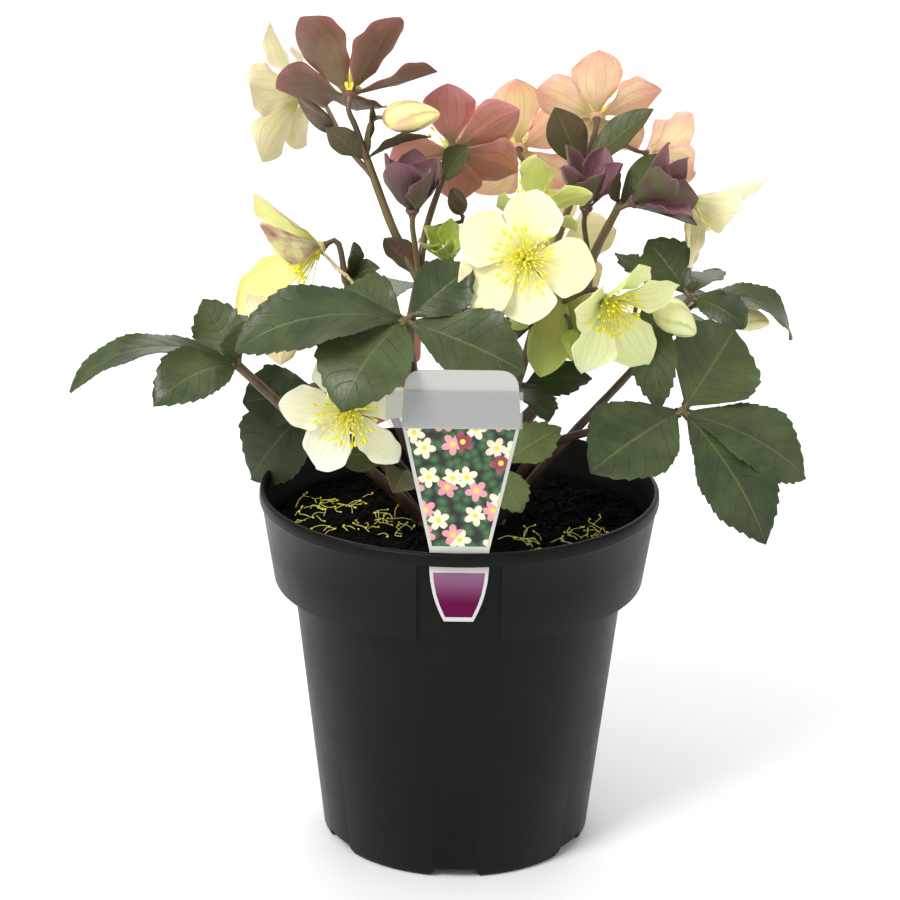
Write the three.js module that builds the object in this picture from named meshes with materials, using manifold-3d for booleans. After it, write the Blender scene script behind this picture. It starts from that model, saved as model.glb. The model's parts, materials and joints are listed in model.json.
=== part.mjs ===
// A flowering hellebore in a black nursery pot, with a plant label clipped through the pot's rim.
// Millimetres, +Z up. The origin is the centre of the pot's foot, and the label faces -Y.
import * as THREE from "three";
import Module from "manifold-3d";

const wasm = await Module();
wasm.setup();
const { Manifold, Mesh } = wasm;

// ---- Driving dimensions ----
const SEAT_GAP = 0.35; // clear space kept between neighbouring pieces

const POT_HEIGHT = 175;
const RIM_RADIUS = 95;
const COLLAR_TOP = 168.8; // underside of the bead round the rim
const COLLAR_TOP_RADIUS = 94.1;
const COLLAR_BOTTOM = 130; // height where the wide collar steps in to the body
const COLLAR_RADIUS = 88.2; // outside of the collar at its lower edge
const BODY_RADIUS = 79.2; // outside of the body under the collar
const FOOT_RADIUS = 64.8; // outside of the body at the foot
const WALL = 1.5;
const FLOOR_HEIGHT = 5.5; // the raised floor between the foot ring and the middle boss
const POT_SIDES = 32;
const DRAINS = 6;

const POCKET_HALF_WIDTH = 19; // the label pocket in the front of the collar
const POCKET_BACK_TOP = -89.3; // the pocket's back wall, at COLLAR_TOP
const POCKET_BACK_LOW = -83.6; // and at the collar's lower edge
const LABEL_THICKNESS = 0.8;
const LABEL_Y = -91.3; // the label's middle plane where it passes the rim
const LABEL_LEAN = 0.04; // how far it leans to the front, per millimetre of height
const STRIP_THICKNESS = 0.6;

const SOIL_LEVEL = 157;
const SOIL_RADIUS = 88.2;
const CROWN = [27, 24, 12]; // half sizes of the crown that all stems grow from
const CROWN_HEIGHT = 152; // its middle, a little under the soil's surface

const SEPAL_THICKNESS = 0.8;
const LEAF_THICKNESS = 0.9;
const DISC_RADIUS = 3.2; // the disc that a bloom's sepals grow from
const DISC_HALF = 0.9;
const SEPALS = 5;
const SEPAL_FOOT = 0.8; // half width of a sepal where it leaves the disc
const SEPAL_TILT = 9; // each sepal's turn about its own length, so that one edge lies over its neighbour
const HUB_RADIUS = 3.4; // the knuckle that a leaf's leaflets grow from
const STALK_END = 2.4; // radius that a bloom's stalk widens to under the disc

// ---- Small helpers ----
const rad = (deg) => (deg * Math.PI) / 180;
const vec = (p) => new THREE.Vector3(...p);
const ORIGIN = vec([0, 0, 0]);
const mix = (p, parts) => parts.reduce((sum, [v, k]) => sum.addScaledVector(v, k), p.clone());

// A repeatable stream of random numbers from -1 to 1.
function randomFrom(seed) {
  let s = seed >>> 0;
  return () => {
    s = (s * 1664525 + 1013904223) >>> 0;
    return s / 2147483648 - 1;
  };
}

// A closed solid from a list of points and a list of triangles.
function solid(points, triVerts) {
  const vertProperties = new Float32Array(points.flatMap((p) => p.toArray()));
  return new Manifold(new Mesh({ numProp: 3, vertProperties, triVerts: new Uint32Array(triVerts) }));
}

// A closed solid from a three.js geometry, whose equal vertices are merged here.
function solidOf(geometry) {
  const at = geometry.getAttribute("position");
  const index = geometry.index ? geometry.index.array : Array.from({ length: at.count }, (_, i) => i);
  const seen = new Map();
  const points = [];
  const place = (i) => {
    const p = new THREE.Vector3().fromBufferAttribute(at, i);
    const key = p.toArray().map((v) => Math.round(v * 1e4) + 0).join();
    if (!seen.has(key)) seen.set(key, points.push(p) - 1);
    return seen.get(key);
  };
  const triangles = [];
  for (let i = 0; i < index.length; i += 3) {
    const [a, b, c] = [place(index[i]), place(index[i + 1]), place(index[i + 2])];
    if (a !== b && b !== c && a !== c) triangles.push(a, b, c);
  }
  return solid(points, triangles);
}

const fuse = (parts) => Manifold.union(parts);

// The largest body of a solid: a scrap that a cut leaves loose is dropped.
const largest = (made) => made.decompose().sort((a, b) => b.volume() - a.volume())[0];

// A round solid from a profile of [radius, height] pairs that starts and ends on the axis.
function turned(profile, sides) {
  const lathe = new THREE.LatheGeometry(profile.map((p) => new THREE.Vector2(...p)), sides);
  return solidOf(lathe.rotateX(Math.PI / 2));
}

// A prism along X from an outline of [y, z] pairs.
function prismAlongX(outline, halfWidth) {
  const shape = new THREE.Shape(outline.map((p) => new THREE.Vector2(...p)));
  const made = new THREE.ExtrudeGeometry(shape, { depth: 2 * halfWidth, bevelEnabled: false });
  // The outline's plane turns from XY to YZ, and the extrusion from Z to X.
  const turn = new THREE.Matrix4().makeBasis(vec([0, 1, 0]), vec([0, 0, 1]), vec([1, 0, 0]));
  return solidOf(made.applyMatrix4(turn).translate(-halfWidth, 0, 0));
}

// A closed tube along a smooth curve. radii are spread evenly along it, and a last radius of 0 is a point.
function tube(points, radii, sides, steps) {
  const curve = new THREE.CatmullRomCurve3(points, false, "centripetal");
  const frames = curve.computeFrenetFrames(steps, false);
  const ringed = radii.at(-1) > 0 ? steps : steps - 1;
  const out = [];
  for (let i = 0; i <= ringed; i++) {
    const at = curve.getPointAt(i / steps);
    const place = (i / steps) * (radii.length - 1);
    const low = Math.min(Math.floor(place), radii.length - 2);
    const r = radii[low] + (radii[low + 1] - radii[low]) * (place - low);
    for (let k = 0; k < sides; k++) {
      const a = (2 * Math.PI * k) / sides;
      out.push(mix(at, [[frames.normals[i], r * Math.cos(a)], [frames.binormals[i], r * Math.sin(a)]]));
    }
  }
  const triangles = [];
  for (let i = 0; i < ringed; i++)
    for (let k = 0; k < sides; k++) {
      const [a, b] = [i * sides + k, i * sides + ((k + 1) % sides)];
      triangles.push(a, b, b + sides, a, b + sides, a + sides);
    }
  for (let k = 1; k < sides - 1; k++) triangles.push(0, k + 1, k);
  const last = ringed * sides;
  if (ringed === steps) {
    for (let k = 1; k < sides - 1; k++) triangles.push(last, last + k, last + k + 1);
  } else {
    out.push(points.at(-1));
    for (let k = 0; k < sides; k++) triangles.push(last + k, last + ((k + 1) % sides), last + sides);
  }
  return solid(out, triangles);
}

// ---- Blades: sepals, leaflets and bracts ----
// How wide a blade is along its length, as a share of its greatest half width.
const OUTLINES = {
  sepal: (s) => Math.max(0.13 * (1 - s), Math.sin(Math.PI * s ** 1.5) ** 0.75),
  leaf: (s) => Math.max(0.1 * (1 - s), Math.sin(Math.PI * s ** 1.2) ** 0.9),
};

// How far a blade's spine has bent away from its upper face at share s of its length.
const bentAt = (bend, s) => rad(bend) * s ** 1.2;

// The points and triangles of a thin blade: base point, unit vectors along it and up from its upper face,
// length, width, half width at its foot, bend along its spine, camber of its edges towards the upper face,
// wave, teeth, thickness, rows, columns, and how much its rows crowd towards the tip. columns is even, and
// the tip is one point on each face.
function bladeSurface(b, grow) {
  const { rows, columns } = b;
  const half = b.thickness / 2 + grow;
  const side = new THREE.Vector3().crossVectors(b.along, b.up);
  const centre = b.base.clone();
  const [upper, lower] = [[], []];
  const shareAt = (i) => 1 - (1 - i / rows) ** b.crowd;
  for (let i = 0; i <= rows; i++) {
    const s = shareAt(i);
    const a = bentAt(b.bend, s);
    const T = mix(ORIGIN, [[b.along, Math.cos(a)], [b.up, -Math.sin(a)]]);
    const N = mix(ORIGIN, [[b.up, Math.cos(a)], [b.along, Math.sin(a)]]);
    if (i > 0) {
      const before = shareAt(i - 1);
      const mid = bentAt(b.bend, (before + s) / 2);
      const step = b.length * (s - before);
      centre.addScaledVector(b.along, Math.cos(mid) * step).addScaledVector(b.up, -Math.sin(mid) * step);
    }
    if (i === rows) {
      const tip = centre.clone().addScaledVector(T, grow);
      upper.push(tip.clone().addScaledVector(N, half));
      lower.push(tip.clone().addScaledVector(N, -half));
      break;
    }
    const tooth = i % 2 === 1 && i > 1 ? b.teeth : 0;
    const width = i ? (b.width / 2) * OUTLINES[b.outline](s) + grow : b.foot + grow;
    for (let k = 0; k <= columns; k++) {
      const v = (2 * k) / columns - 1;
      const edge = Math.abs(v) === 1;
      const reach = Math.abs(v) * width * (edge ? 1 + tooth : 1);
      const c = rad(b.camber) * Math.abs(v);
      const turn = Math.sign(v) * c;
      // The half section is an arc of length reach that turns by c.
      const across = c ? (Math.sign(v) * reach * Math.sin(c)) / c : 0;
      const lift = c ? (reach * (1 - Math.cos(c))) / c : 0;
      const wave = b.wave * v * v * Math.sin(2 * Math.PI * b.waves * s + b.phase + 1.3 * v);
      const forward = edge ? tooth * width * 0.6 : 0;
      const at = mix(centre, [[side, across], [N, lift + wave], [T, forward]]);
      const face = mix(ORIGIN, [[N, Math.cos(turn)], [side, -Math.sin(turn)]]);
      upper.push(at.clone().addScaledVector(face, half));
      lower.push(at.clone().addScaledVector(face, -half));
    }
  }
  return { points: [...upper, ...lower], triangles: bladeSkin(rows, columns), across: columns + 1 };
}

// The triangles of a blade, split alike on both faces. Its base edge is left open.
function bladeSkin(rows, columns) {
  const across = columns + 1;
  const count = rows * across + 1;
  const triangles = [];
  const both = (x, y, z) => triangles.push([x, y, z], [count + x, count + z, count + y]);
  for (let i = 0; i < rows - 1; i++)
    for (let k = 0; k < columns; k++) {
      const [p, q] = [i * across + k, (i + 1) * across + k];
      if (k < columns / 2) {
        both(p, p + 1, q + 1);
        both(p, q + 1, q);
      } else {
        both(p, p + 1, q);
        both(p + 1, q + 1, q);
      }
    }
  const last = (rows - 1) * across;
  for (let k = 0; k < columns; k++) both(last + k, last + k + 1, count - 1);
  const rim = [];
  for (let i = 0; i < rows; i++) rim.push(i * across);
  rim.push(count - 1);
  for (let i = rows - 1; i >= 0; i--) rim.push(i * across + columns);
  for (let i = 0; i < rim.length - 1; i++) {
    const [x, y] = [rim[i], rim[i + 1]];
    triangles.push([x, y, count + y], [x, count + y, count + x]);
  }
  return triangles;
}

// A blade as a solid of its own, with its base closed.
function blade(b, grow = 0) {
  const { points, triangles, across } = bladeSurface(b, grow);
  const count = points.length / 2;
  for (let k = 0; k < across - 1; k++) triangles.push([k + 1, k, count + k], [k + 1, count + k, count + k + 1]);
  return solid(points, triangles.flat());
}

// A blade from base to tip, arched over its chord. roll turns its upper face about the chord.
function bladeTo(base, tip, roll, options) {
  const steps = 24;
  let [forward, down] = [0, 0];
  for (let i = 0; i < steps; i++) {
    const a = bentAt(options.bend, (i + 0.5) / steps);
    forward += Math.cos(a) / steps;
    down += Math.sin(a) / steps;
  }
  const chord = tip.clone().sub(base);
  const run = chord.clone().normalize();
  const hint = Math.abs(run.z) > 0.9 ? vec([0, -1, 0]) : vec([0, 0, 1]);
  const up = hint.addScaledVector(run, -hint.dot(run)).normalize().applyAxisAngle(run, rad(roll));
  const lead = Math.atan2(down, forward);
  return {
    base,
    along: mix(ORIGIN, [[run, Math.cos(lead)], [up, Math.sin(lead)]]),
    up: mix(ORIGIN, [[up, Math.cos(lead)], [run, -Math.sin(lead)]]),
    length: chord.length() / Math.hypot(forward, down),
    ...options,
  };
}

// ---- The plant's plan ----
// A bloom's heart is the middle of its receptacle. yaw 0 faces the front and 90 the right, pitch is up,
// turn is where its first sepal points, cup is each sepal's angle from the bloom's axis, and curl is how
// much further it bends outwards. grain is the rows and columns of its sepals' faces.
// sepals, where it is given, is each sepal's own place round the axis, cup and share of the length.
const bloom = (heart, yaw, pitch, turn, length, width, cup, curl, colour, stamens, grain = [3, 2], sepals) =>
  ({ heart, yaw, pitch, turn, length, width, cup, curl, colour, stamens, grain, sepals });

const BLOOMS = {
  front: bloom([27, -58, 301], -3, 12, 78, 33, 28, 80, 10, "cream", 12, [4, 4],
    [[80, 80], [154, 80], [214, 80], [276, 80, 0.86], [352, 80, 1.04]]),
  right: bloom([64, -48, 280], 36, -24, 20, 36, 24, 64, 14, "lime", 8, [4, 2],
    [[20, 64], [94, 58], [166, 62, 0.85], [250, 64], [308, 62, 1.1]]),
  nodding: bloom([44, -30, 285], 190, -66, 4, 42, 22, 42, 8, "green", 3, [3, 2],
    [[4, 36, 0.9], [72, 42, 0.9], [144, 42, 0.9], [216, 42, 0.95], [288, 42, 1.1]]),
  lime: bloom([31, -8, 310], 150, 42, 104, 34, 16, 60, 20, "lime", 3, [3, 2],
    [[104, 58], [168, 62, 0.95], [232, 64, 0.8], [290, 64, 0.8], [345, 66, 0.7]]),
  crown: bloom([-52, -10, 364], 178, 50, 46, 43, 29, 48, 8, "bronze", 4, [4, 2],
    [[46, 46], [134, 46], [190, 66], [266, 74, 0.55], [338, 70, 0.95]]),
  far_left: bloom([-77, 42, 354], -112, -6, 20, 37, 25, 66, 16, "cream", 5),
  rose: bloom([-5, 14, 334], 176, 14, 84, 34, 25, 72, 10, "rose", 4, [3, 2],
    [[84, 72, 0.95], [149, 72, 1.05], [205, 74], [268, 72, 0.95], [338, 72]]),
  peach_back: bloom([27, 76, 322], 180, 12, 88, 35, 27, 70, 12, "peach", 4),
  blush: bloom([63, 50, 343], 176, 26, 92, 33, 25, 68, 10, "peach", 4),
  peach_side: bloom([90, 66, 322], 118, -16, 40, 28, 21, 58, 18, "peach", 4),
  far_right: bloom([107, 26, 309], 78, -34, 84, 38, 23, 52, 12, "cream", 6, [3, 2],
    [[84, 46], [150, 54], [216, 52], [282, 54], [350, 54]]),
  plum_left: bloom([-23, -22, 314], 0, 84, 20, 29, 19, 42, -34, "plum", 0),
  plum_mid: bloom([57, 8, 309], 20, 76, 50, 30, 19, 32, -4, "plum", 0),
  plum_right: bloom([78, -9, 316], 72, 28, 30, 33, 20, 32, -6, "plum", 0),
  left: bloom([-66, 2, 290], -72, -20, 0, 42, 28, 56, 6, "blush", 9, [4, 2],
    [[48, 52], [110, 60], [168, 62, 0.9], [222, 34, 1.3], [308, 105, 0.85]]),
  low_left: bloom([-50, -56, 230], -12, -14, 100, 34, 22, 72, 14, "white", 9, [4, 2]),
  small_green: bloom([-7, -18, 291], -20, 62, 10, 20, 14, 36, -8, "green", 0),
  tucked: bloom([-82, -16, 259], -150, -30, 60, 21, 15, 60, 10, "cream", 4),
  back_cream: bloom([46, 98, 266], 168, 8, 85, 34, 26, 74, 10, "cream", 6, [4, 2]),
  back_rose: bloom([-40, 98, 200], 196, -8, 70, 32, 24, 70, 12, "rose", 4),
};

// Buds: foot, tip, greatest radius.
const BUDS = {
  peach: [[-37, -12, 354], [-11, -18, 357], 7.5],
  right: [[88, -30, 274], [106, -36, 261], 8],
  far_right: [[124, 20, 256], [146, 20, 251], 6.5],
  green: [[49, -40, 264], [50, -43, 250], 5],
  dark: [[-1, -7, 309], [-5, -12, 322], 4.5],
  side: [[-59.3, -13, 347.4], [-75, -14, 363.4], 4.2],
};

// Leaves: hub, colour, rows of a leaflet's faces, then leaflets of tip, width, bend, roll.
const LEAVES = {
  left: [[-104, -10, 236], "leaf", 7, [
    [[-181, -18, 224], 24, 96, -14],
    [[-140, -44, 226], 30, 84, -30],
    [[-121, 4, 264], 24, -30, -50],
    [[-100, -26, 262], 22, 30, 40],
  ]],
  front: [[-25, -68, 275], "leaf", 7, [
    [[-99, -80, 263], 37, 76, -32],
    [[-52, -103, 243], 45, 66, -14],
    [[28, -82, 256], 37, 26, 46],
    [[4, -58, 298], 27, 20, 60],
    [[-52, -42, 283], 24, 20, -50],
  ]],
  right: [[101, -40, 226], "leaf", 7, [
    [[58, -74, 207], 43, 34, -36],
    [[126, -14, 258], 46, 22, 50],
    [[160, -34, 192], 38, 46, 40],
    [[139, -66, 171], 40, 50, 26],
  ]],
  right_top: [[107, 6, 267], "leaf", 5, [
    [[87, 22, 290], 26, 20, -40],
    [[131, -8, 256], 24, 60, 20],
    [[158, 30, 240], 22, 90, 30],
    [[116, 48, 268], 26, 40, 0],
  ]],
  behind_left: [[-66, 22, 212], "shade", 5, [
    [[-104, 20, 208], 32, 50, -50],
    [[-101, 26, 168], 42, 40, -60],
    [[-88, 54, 200], 28, 50, 0],
  ]],
  low_middle: [[26, -30, 234], "shade", 5, [
    [[60, -32, 238], 20, 40, 40],
    [[40, -58, 226], 18, 40, 0],
  ]],
  back_left: [[-64, 70, 232], "leaf", 5, [
    [[-120, 92, 222], 36, 66, 0],
    [[-70, 138, 214], 40, 62, 0],
    [[-104, 56, 248], 30, 50, 10],
    [[-20, 124, 240], 30, 50, 0],
  ]],
  back_right: [[84, 84, 232], "leaf", 5, [
    [[138, 100, 216], 36, 62, 0],
    [[84, 146, 206], 38, 60, 0],
    [[126, 66, 246], 32, 46, 0],
    [[52, 128, 206], 30, 50, 0],
  ]],
  pale: [[18, -50, 202], "pale", 4, [
    [[46, -46, 219], 20, 24, 50],
    [[28, -64, 184], 17, 30, 40],
  ]],
  hanging: [[86, -22, 280], "leaf", 5, [
    [[91, -38, 226], 22, 36, 14],
    [[70, -10, 292], 14, 20, 0],
  ]],
};

// Bracts, which grow from the forks of the stems: foot, tip, width, bend, roll.
const BRACTS = [
  [[-44, -12, 335], [-62, -20, 351], 13, -20, 70],
  [[-44, -12, 335], [-42, -14, 361], 10, 0, 80],
  [[-44, -12, 335], [-15, -20, 347], 14, 30, -20],
  [[-44, -12, 335], [-60, -6, 345], 17, 10, 60],
  [[-20, -11, 279], [-36, -16, 299], 16, 24, 50],
  [[-10, 0, 322], [2, -8, 341], 15, 10, 70],
  [[-10, 0, 322], [-26, 4, 318], 14, 50, 0],
  [[56, 28, 322], [42, 22, 353], 20, -10, 70],
  [[56, 28, 322], [88, 26, 352], 19, 14, 40],
  [[72, 2, 312], [70, -10, 330], 12, 10, 70],
  [[72, 2, 312], [95, 14, 333], 17, 20, 40],
  [[72, 2, 312], [107, -12, 306], 18, 16, 0],
  [[-54, 0, 274], [-50, -3, 294], 15, 16, 60],
  [[-54, 0, 274], [-38, -4, 282], 14, 40, 30],
  [[-31, -40, 203], [-57, -42, 203], 18, 30, -60],
  [[-26, -36, 195], [-30, -56, 190], 17, 40, -30],
];

// Stems: radius at the foot and at the end, the points between, and what the stem carries.
const STEMS = [
  [3, 2.2, [[-9, -5, 156], [-18, -14, 215], [-24, -18, 252], [-20, -11, 279]]],
  [2.2, 1.8, [[-20, -11, 279], [-31, -11, 300], [-44, -12, 335]]],
  [1.5, 1.2, [[-44, -12, 335], [-49, -14, 350]], "bloom crown"],
  [1.1, 1, [[-44, -12, 335], [-44, -11, 346]], "bud peach"],
  [1.2, 1, [[-40.5, -12, 326]], "bud side"],
  [1.5, 1.2, [[-20, -11, 279], [-22, -18, 298]], "bloom plum_left"],
  [1.9, 1.2, [[-20, -11, 279], [-17, -3, 300], [-10, 0, 322]], "bloom rose"],
  [1, 1, [[-20, -11, 279], [-12, -12, 285]], "bloom small_green"],
  [1, 1, [[-17, -3, 300], [-8, -4, 303]], "bud dark"],
  [3, 1.9, [[12, -3, 156], [22, -8, 200], [57, 5, 240], [60, 11, 280], [72, 2, 312]]],
  [1.5, 1.2, [[72, 2, 312]], "bloom plum_right"],
  [1.3, 1.2, [[60, 11, 280], [57, 10, 296]], "bloom plum_mid"],
  [1.2, 1, [[72, 2, 312], [90, 14, 313.4]], "bloom far_right"],
  [2.8, 1.9, [[4, -10, 156], [12, -16, 215], [24, -20, 254], [30, -22, 284]]],
  [1.5, 1.2, [[30, -22, 284], [29, -36, 297]], "bloom front"],
  [1.3, 1.1, [[30, -22, 284], [38, -30, 295]], "bloom nodding"],
  [1.3, 1.1, [[30, -22, 284], [32, -18, 294]], "bloom lime"],
  [1.5, 1.2, [[24, -20, 254], [42, -32, 272]], "bloom right"],
  [1, 1, [[36, -27, 265], [43, -33, 270]], "bud green"],
  [2.5, 1.6, [[16, -9, 156], [36, -14, 196], [72, -26, 214]], "leaf right"],
  [3, 2.2, [[-15, -4, 156], [-42, -8, 184], [-73, -10, 207]], "leaf left"],
  [2.5, 1.6, [[-9, 4, 156], [-34, 2, 215], [-46, 0, 252], [-54, 0, 274]]],
  [1.6, 1.3, [[-54, 0, 274]], "bloom left"],
  [1.2, 1, [[-46, 0, 252], [-60, -8, 260]], "bloom tucked"],
  [1.3, 1, [[-40.5, -12, 326], [-54, 14, 335]], "bloom far_left"],
  [2.8, 1.6, [[7, 9, 156], [30, 30, 226], [46, 32, 290], [56, 28, 322]]],
  [1.5, 1.3, [[56, 28, 322]], "bloom blush"],
  [1.5, 1.2, [[46, 32, 290], [34, 56, 314]], "bloom peach_back"],
  [1.3, 1, [[56, 28, 322], [74, 46, 330]], "bloom peach_side"],
  [2.5, 1.6, [[18, 3, 156], [50, 4, 196], [84, 4, 236]], "leaf right_top"],
  [1.1, 1, [[96, 5, 252], [112, 14, 262]], "bud far_right"],
  [1.2, 1, [[84, 4, 236], [80, -16, 268]], "bud right"],
  [1, 1, [[80, -16, 268]], "leaf hanging"],
  [1.9, 1.2, [[-5, -13, 156], [-22, -32, 188], [-38, -46, 216]], "bloom low_left"],
  [2.2, 1.6, [[0, -15, 156], [-18, -42, 226]], "leaf front"],
  [1.8, 1.2, [[10, -14, 156], [16, -24, 198]], "leaf low_middle"],
  [1.5, 1.2, [[6, -16, 156], [14, -38, 178]], "leaf pale"],
  [1.8, 1.3, [[-17, 6, 156], [-42, 14, 186]], "leaf behind_left"],
  [2.2, 1.5, [[-8, 14, 156], [-26, 50, 196]], "leaf back_left"],
  [1.5, 1.1, [[-26, 50, 196], [-34, 73, 201.3]], "bloom back_rose"],
  [2.2, 1.5, [[10, 15, 156], [38, 54, 196]], "leaf back_right"],
  [2.1, 1.2, [[1, 16, 156], [16, 56, 226]], "bloom back_cream"],
];

// ---- Pieces ----
// The pot's round shell: outside from the middle of its foot to the rim, and back down inside.
function potShell() {
  const inside = FLOOR_HEIGHT + WALL;
  return turned([
    [0, 0], [22, 0], [23, FLOOR_HEIGHT], [54, FLOOR_HEIGHT], [55, 0], [62.4, 0], [FOOT_RADIUS, 3],
    [BODY_RADIUS, COLLAR_BOTTOM], [COLLAR_RADIUS, COLLAR_BOTTOM], [COLLAR_TOP_RADIUS, COLLAR_TOP],
    [RIM_RADIUS, COLLAR_TOP + 0.8], [RIM_RADIUS, POT_HEIGHT - 1], [RIM_RADIUS - 1, POT_HEIGHT],
    [RIM_RADIUS - 2.4, POT_HEIGHT], [91.6, 162], [90.2, 160.6],
    [COLLAR_RADIUS - WALL, COLLAR_BOTTOM + 2 * WALL],
    [BODY_RADIUS - WALL, COLLAR_BOTTOM + WALL], [FOOT_RADIUS - WALL, inside], [0, inside],
  ], POT_SIDES);
}

// The pocket's back wall and side walls, before the pocket is cut: a block inside the collar's outside.
function pocketBlock(backAt) {
  const collar = turned([
    [0, COLLAR_BOTTOM], [COLLAR_RADIUS, COLLAR_BOTTOM], [COLLAR_TOP_RADIUS, COLLAR_TOP], [0, COLLAR_TOP],
  ], POT_SIDES);
  const front = -RIM_RADIUS - 5;
  return prismAlongX([
    [front, COLLAR_BOTTOM], [backAt(COLLAR_BOTTOM) + WALL, COLLAR_BOTTOM],
    [backAt(COLLAR_TOP) + WALL, COLLAR_TOP], [front, COLLAR_TOP],
  ], POCKET_HALF_WIDTH + WALL).intersect(collar);
}

// Drain notches through the foot ring and drain holes in the raised floor.
function drainCutters() {
  const outline = [[-12.5, -1], [12.5, -1], [9.5, 5], [-9.5, 5]].map((p) => new THREE.Vector2(...p));
  const cutters = [];
  for (let i = 0; i < DRAINS; i++) {
    const notch = new THREE.ExtrudeGeometry(new THREE.Shape(outline), { depth: 16, bevelEnabled: false });
    notch.rotateX(Math.PI / 2).translate(0, -52, 0).rotateZ((2 * Math.PI * i) / DRAINS);
    const hole = new THREE.CylinderGeometry(4, 4, 12, 6);
    hole.rotateX(Math.PI / 2).translate(0, -38, FLOOR_HEIGHT).rotateZ((2 * Math.PI * (i + 0.5)) / DRAINS);
    cutters.push(solidOf(notch), solidOf(hole));
  }
  return cutters;
}

function makePot() {
  const slope = (POCKET_BACK_TOP - POCKET_BACK_LOW) / (COLLAR_TOP - COLLAR_BOTTOM);
  const backAt = (z) => POCKET_BACK_LOW + slope * (z - COLLAR_BOTTOM);
  const front = -RIM_RADIUS - 5;
  const low = COLLAR_BOTTOM - 1;
  const pocket = prismAlongX([
    [front, low], [backAt(low), low], [backAt(COLLAR_TOP), COLLAR_TOP], [front, COLLAR_TOP],
  ], POCKET_HALF_WIDTH);
  // The slot lets the label's neck pass down behind the rim's bead.
  const half = LABEL_THICKNESS / 2 + SEAT_GAP;
  const slot = prismAlongX([COLLAR_TOP - 2, POT_HEIGHT + 5].flatMap((z, i) => {
    const y = LABEL_Y - LABEL_LEAN * (z - COLLAR_TOP);
    return i ? [[y + half, z], [y - half, z]] : [[y - half, z], [y + half, z]];
  }), POCKET_HALF_WIDTH - 4.5);
  return largest(potShell().add(pocketBlock(backAt)).subtract(fuse([pocket, slot, ...drainCutters()])));
}

// Stands an outline drawn in X and Z in the label's leaning plane, ahead of the label's middle.
function standLabel(shape, thickness, ahead) {
  const made = new THREE.ExtrudeGeometry(shape, { depth: thickness, bevelEnabled: false, curveSegments: 4 });
  made.translate(0, 0, -thickness / 2).rotateX(Math.PI / 2);
  const lean = new THREE.Matrix4().makeShear(0, 0, 0, 0, 0, -LABEL_LEAN);
  return solidOf(made.applyMatrix4(lean).translate(0, LABEL_Y - ahead + LABEL_LEAN * COLLAR_TOP, 0));
}

// The label: a wide head with round corners, a neck through the slot, and a tongue in the pocket.
function makeLabel(grow = 0) {
  const [head, neck, foot, top] = [26 + grow, 13.2 + grow, 6.6 + grow, 260.5 + grow];
  const half = [
    [foot, 141.5 - grow], [11.5 + grow, 155], [neck, 167], [neck, 176], [head, 236], [head - 1, 252],
  ];
  const shape = new THREE.Shape();
  shape.moveTo(-half[0][0], half[0][1]);
  half.forEach((p) => shape.lineTo(...p));
  shape.quadraticCurveTo(head - 1.5, top, head - 10, top);
  shape.lineTo(10 - head, top);
  shape.quadraticCurveTo(1.5 - head, top, 1 - head, 252);
  half.slice(1, -1).reverse().forEach(([x, z]) => shape.lineTo(-x, z));
  return standLabel(shape, LABEL_THICKNESS + 2 * grow, 0);
}

// The clear strip across the label's head, longer than the head on its left.
function makeStrip(grow = 0) {
  const [left, right, low, high] = [-33 - grow, 26.8 + grow, 234 - grow, 251 + grow];
  const shape = new THREE.Shape([[left + 3, low], [right, low], [right, high], [left, high], [left, low + 3]]
    .map((p) => new THREE.Vector2(...p)));
  return standLabel(shape, STRIP_THICKNESS + 2 * grow, (LABEL_THICKNESS + STRIP_THICKNESS) / 2 + SEAT_GAP);
}

// Potting mix: it fills the pot to a lumpy surface.
function makeSoil() {
  const gap = WALL + 0.8;
  const floor = FLOOR_HEIGHT + WALL + SEAT_GAP;
  const rings = 2;
  const profile = [[0, floor], [FOOT_RADIUS - gap - 0.4, floor], [BODY_RADIUS - gap, COLLAR_BOTTOM + 2],
    [COLLAR_RADIUS - gap, COLLAR_BOTTOM + 3.6], [SOIL_RADIUS - 0.6, SOIL_LEVEL - 3]];
  for (let i = rings; i >= 0; i--) profile.push([(SOIL_RADIUS - 1.2) * (i / rings), SOIL_LEVEL]);
  const lathe = new THREE.LatheGeometry(profile.map((p) => new THREE.Vector2(...p)), 20).rotateX(Math.PI / 2);
  const at = lathe.getAttribute("position");
  for (let i = 0; i < at.count; i++) {
    const [x, y, z] = [at.getX(i), at.getY(i), at.getZ(i)];
    const lump = Math.sin(x * 0.21 + 1) * Math.cos(y * 0.17) + 0.7 * Math.sin(x * 0.47 - y * 0.39);
    if (z > SOIL_LEVEL - 0.01) at.setZ(i, z + 1.4 * lump);
  }
  return solidOf(lathe);
}

// The bloom's own axes: F faces out of the bloom, U is up across it and R to the right.
function bloomAxes({ yaw, pitch }) {
  const [a, p] = [rad(yaw), rad(pitch)];
  const F = vec([Math.cos(p) * Math.sin(a), -Math.cos(p) * Math.cos(a), Math.sin(p)]);
  const U = vec([0, 0, 1]).addScaledVector(F, -F.z).normalize();
  return { F, U, R: new THREE.Vector3().crossVectors(U, F) };
}

// Where a stem that carries something ends, with the point before it that sets its last direction.
function stemEnd(target, last) {
  const [kind, name] = target.split(" ");
  if (kind === "bloom") {
    const { F } = bloomAxes(BLOOMS[name]);
    const heart = vec(BLOOMS[name].heart);
    return [8, DISC_HALF + SEAT_GAP].map((back) => heart.clone().addScaledVector(F, -back));
  }
  if (kind === "bud") {
    const [foot, tip] = BUDS[name].slice(0, 2).map(vec);
    const away = foot.clone().sub(tip).normalize();
    return [foot.clone().addScaledVector(away, 4), foot.clone().addScaledVector(away, SEAT_GAP)];
  }
  const hub = vec(LEAVES[name][0]);
  return [hub.clone().addScaledVector(last.clone().sub(hub).normalize(), HUB_RADIUS + SEAT_GAP)];
}

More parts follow.
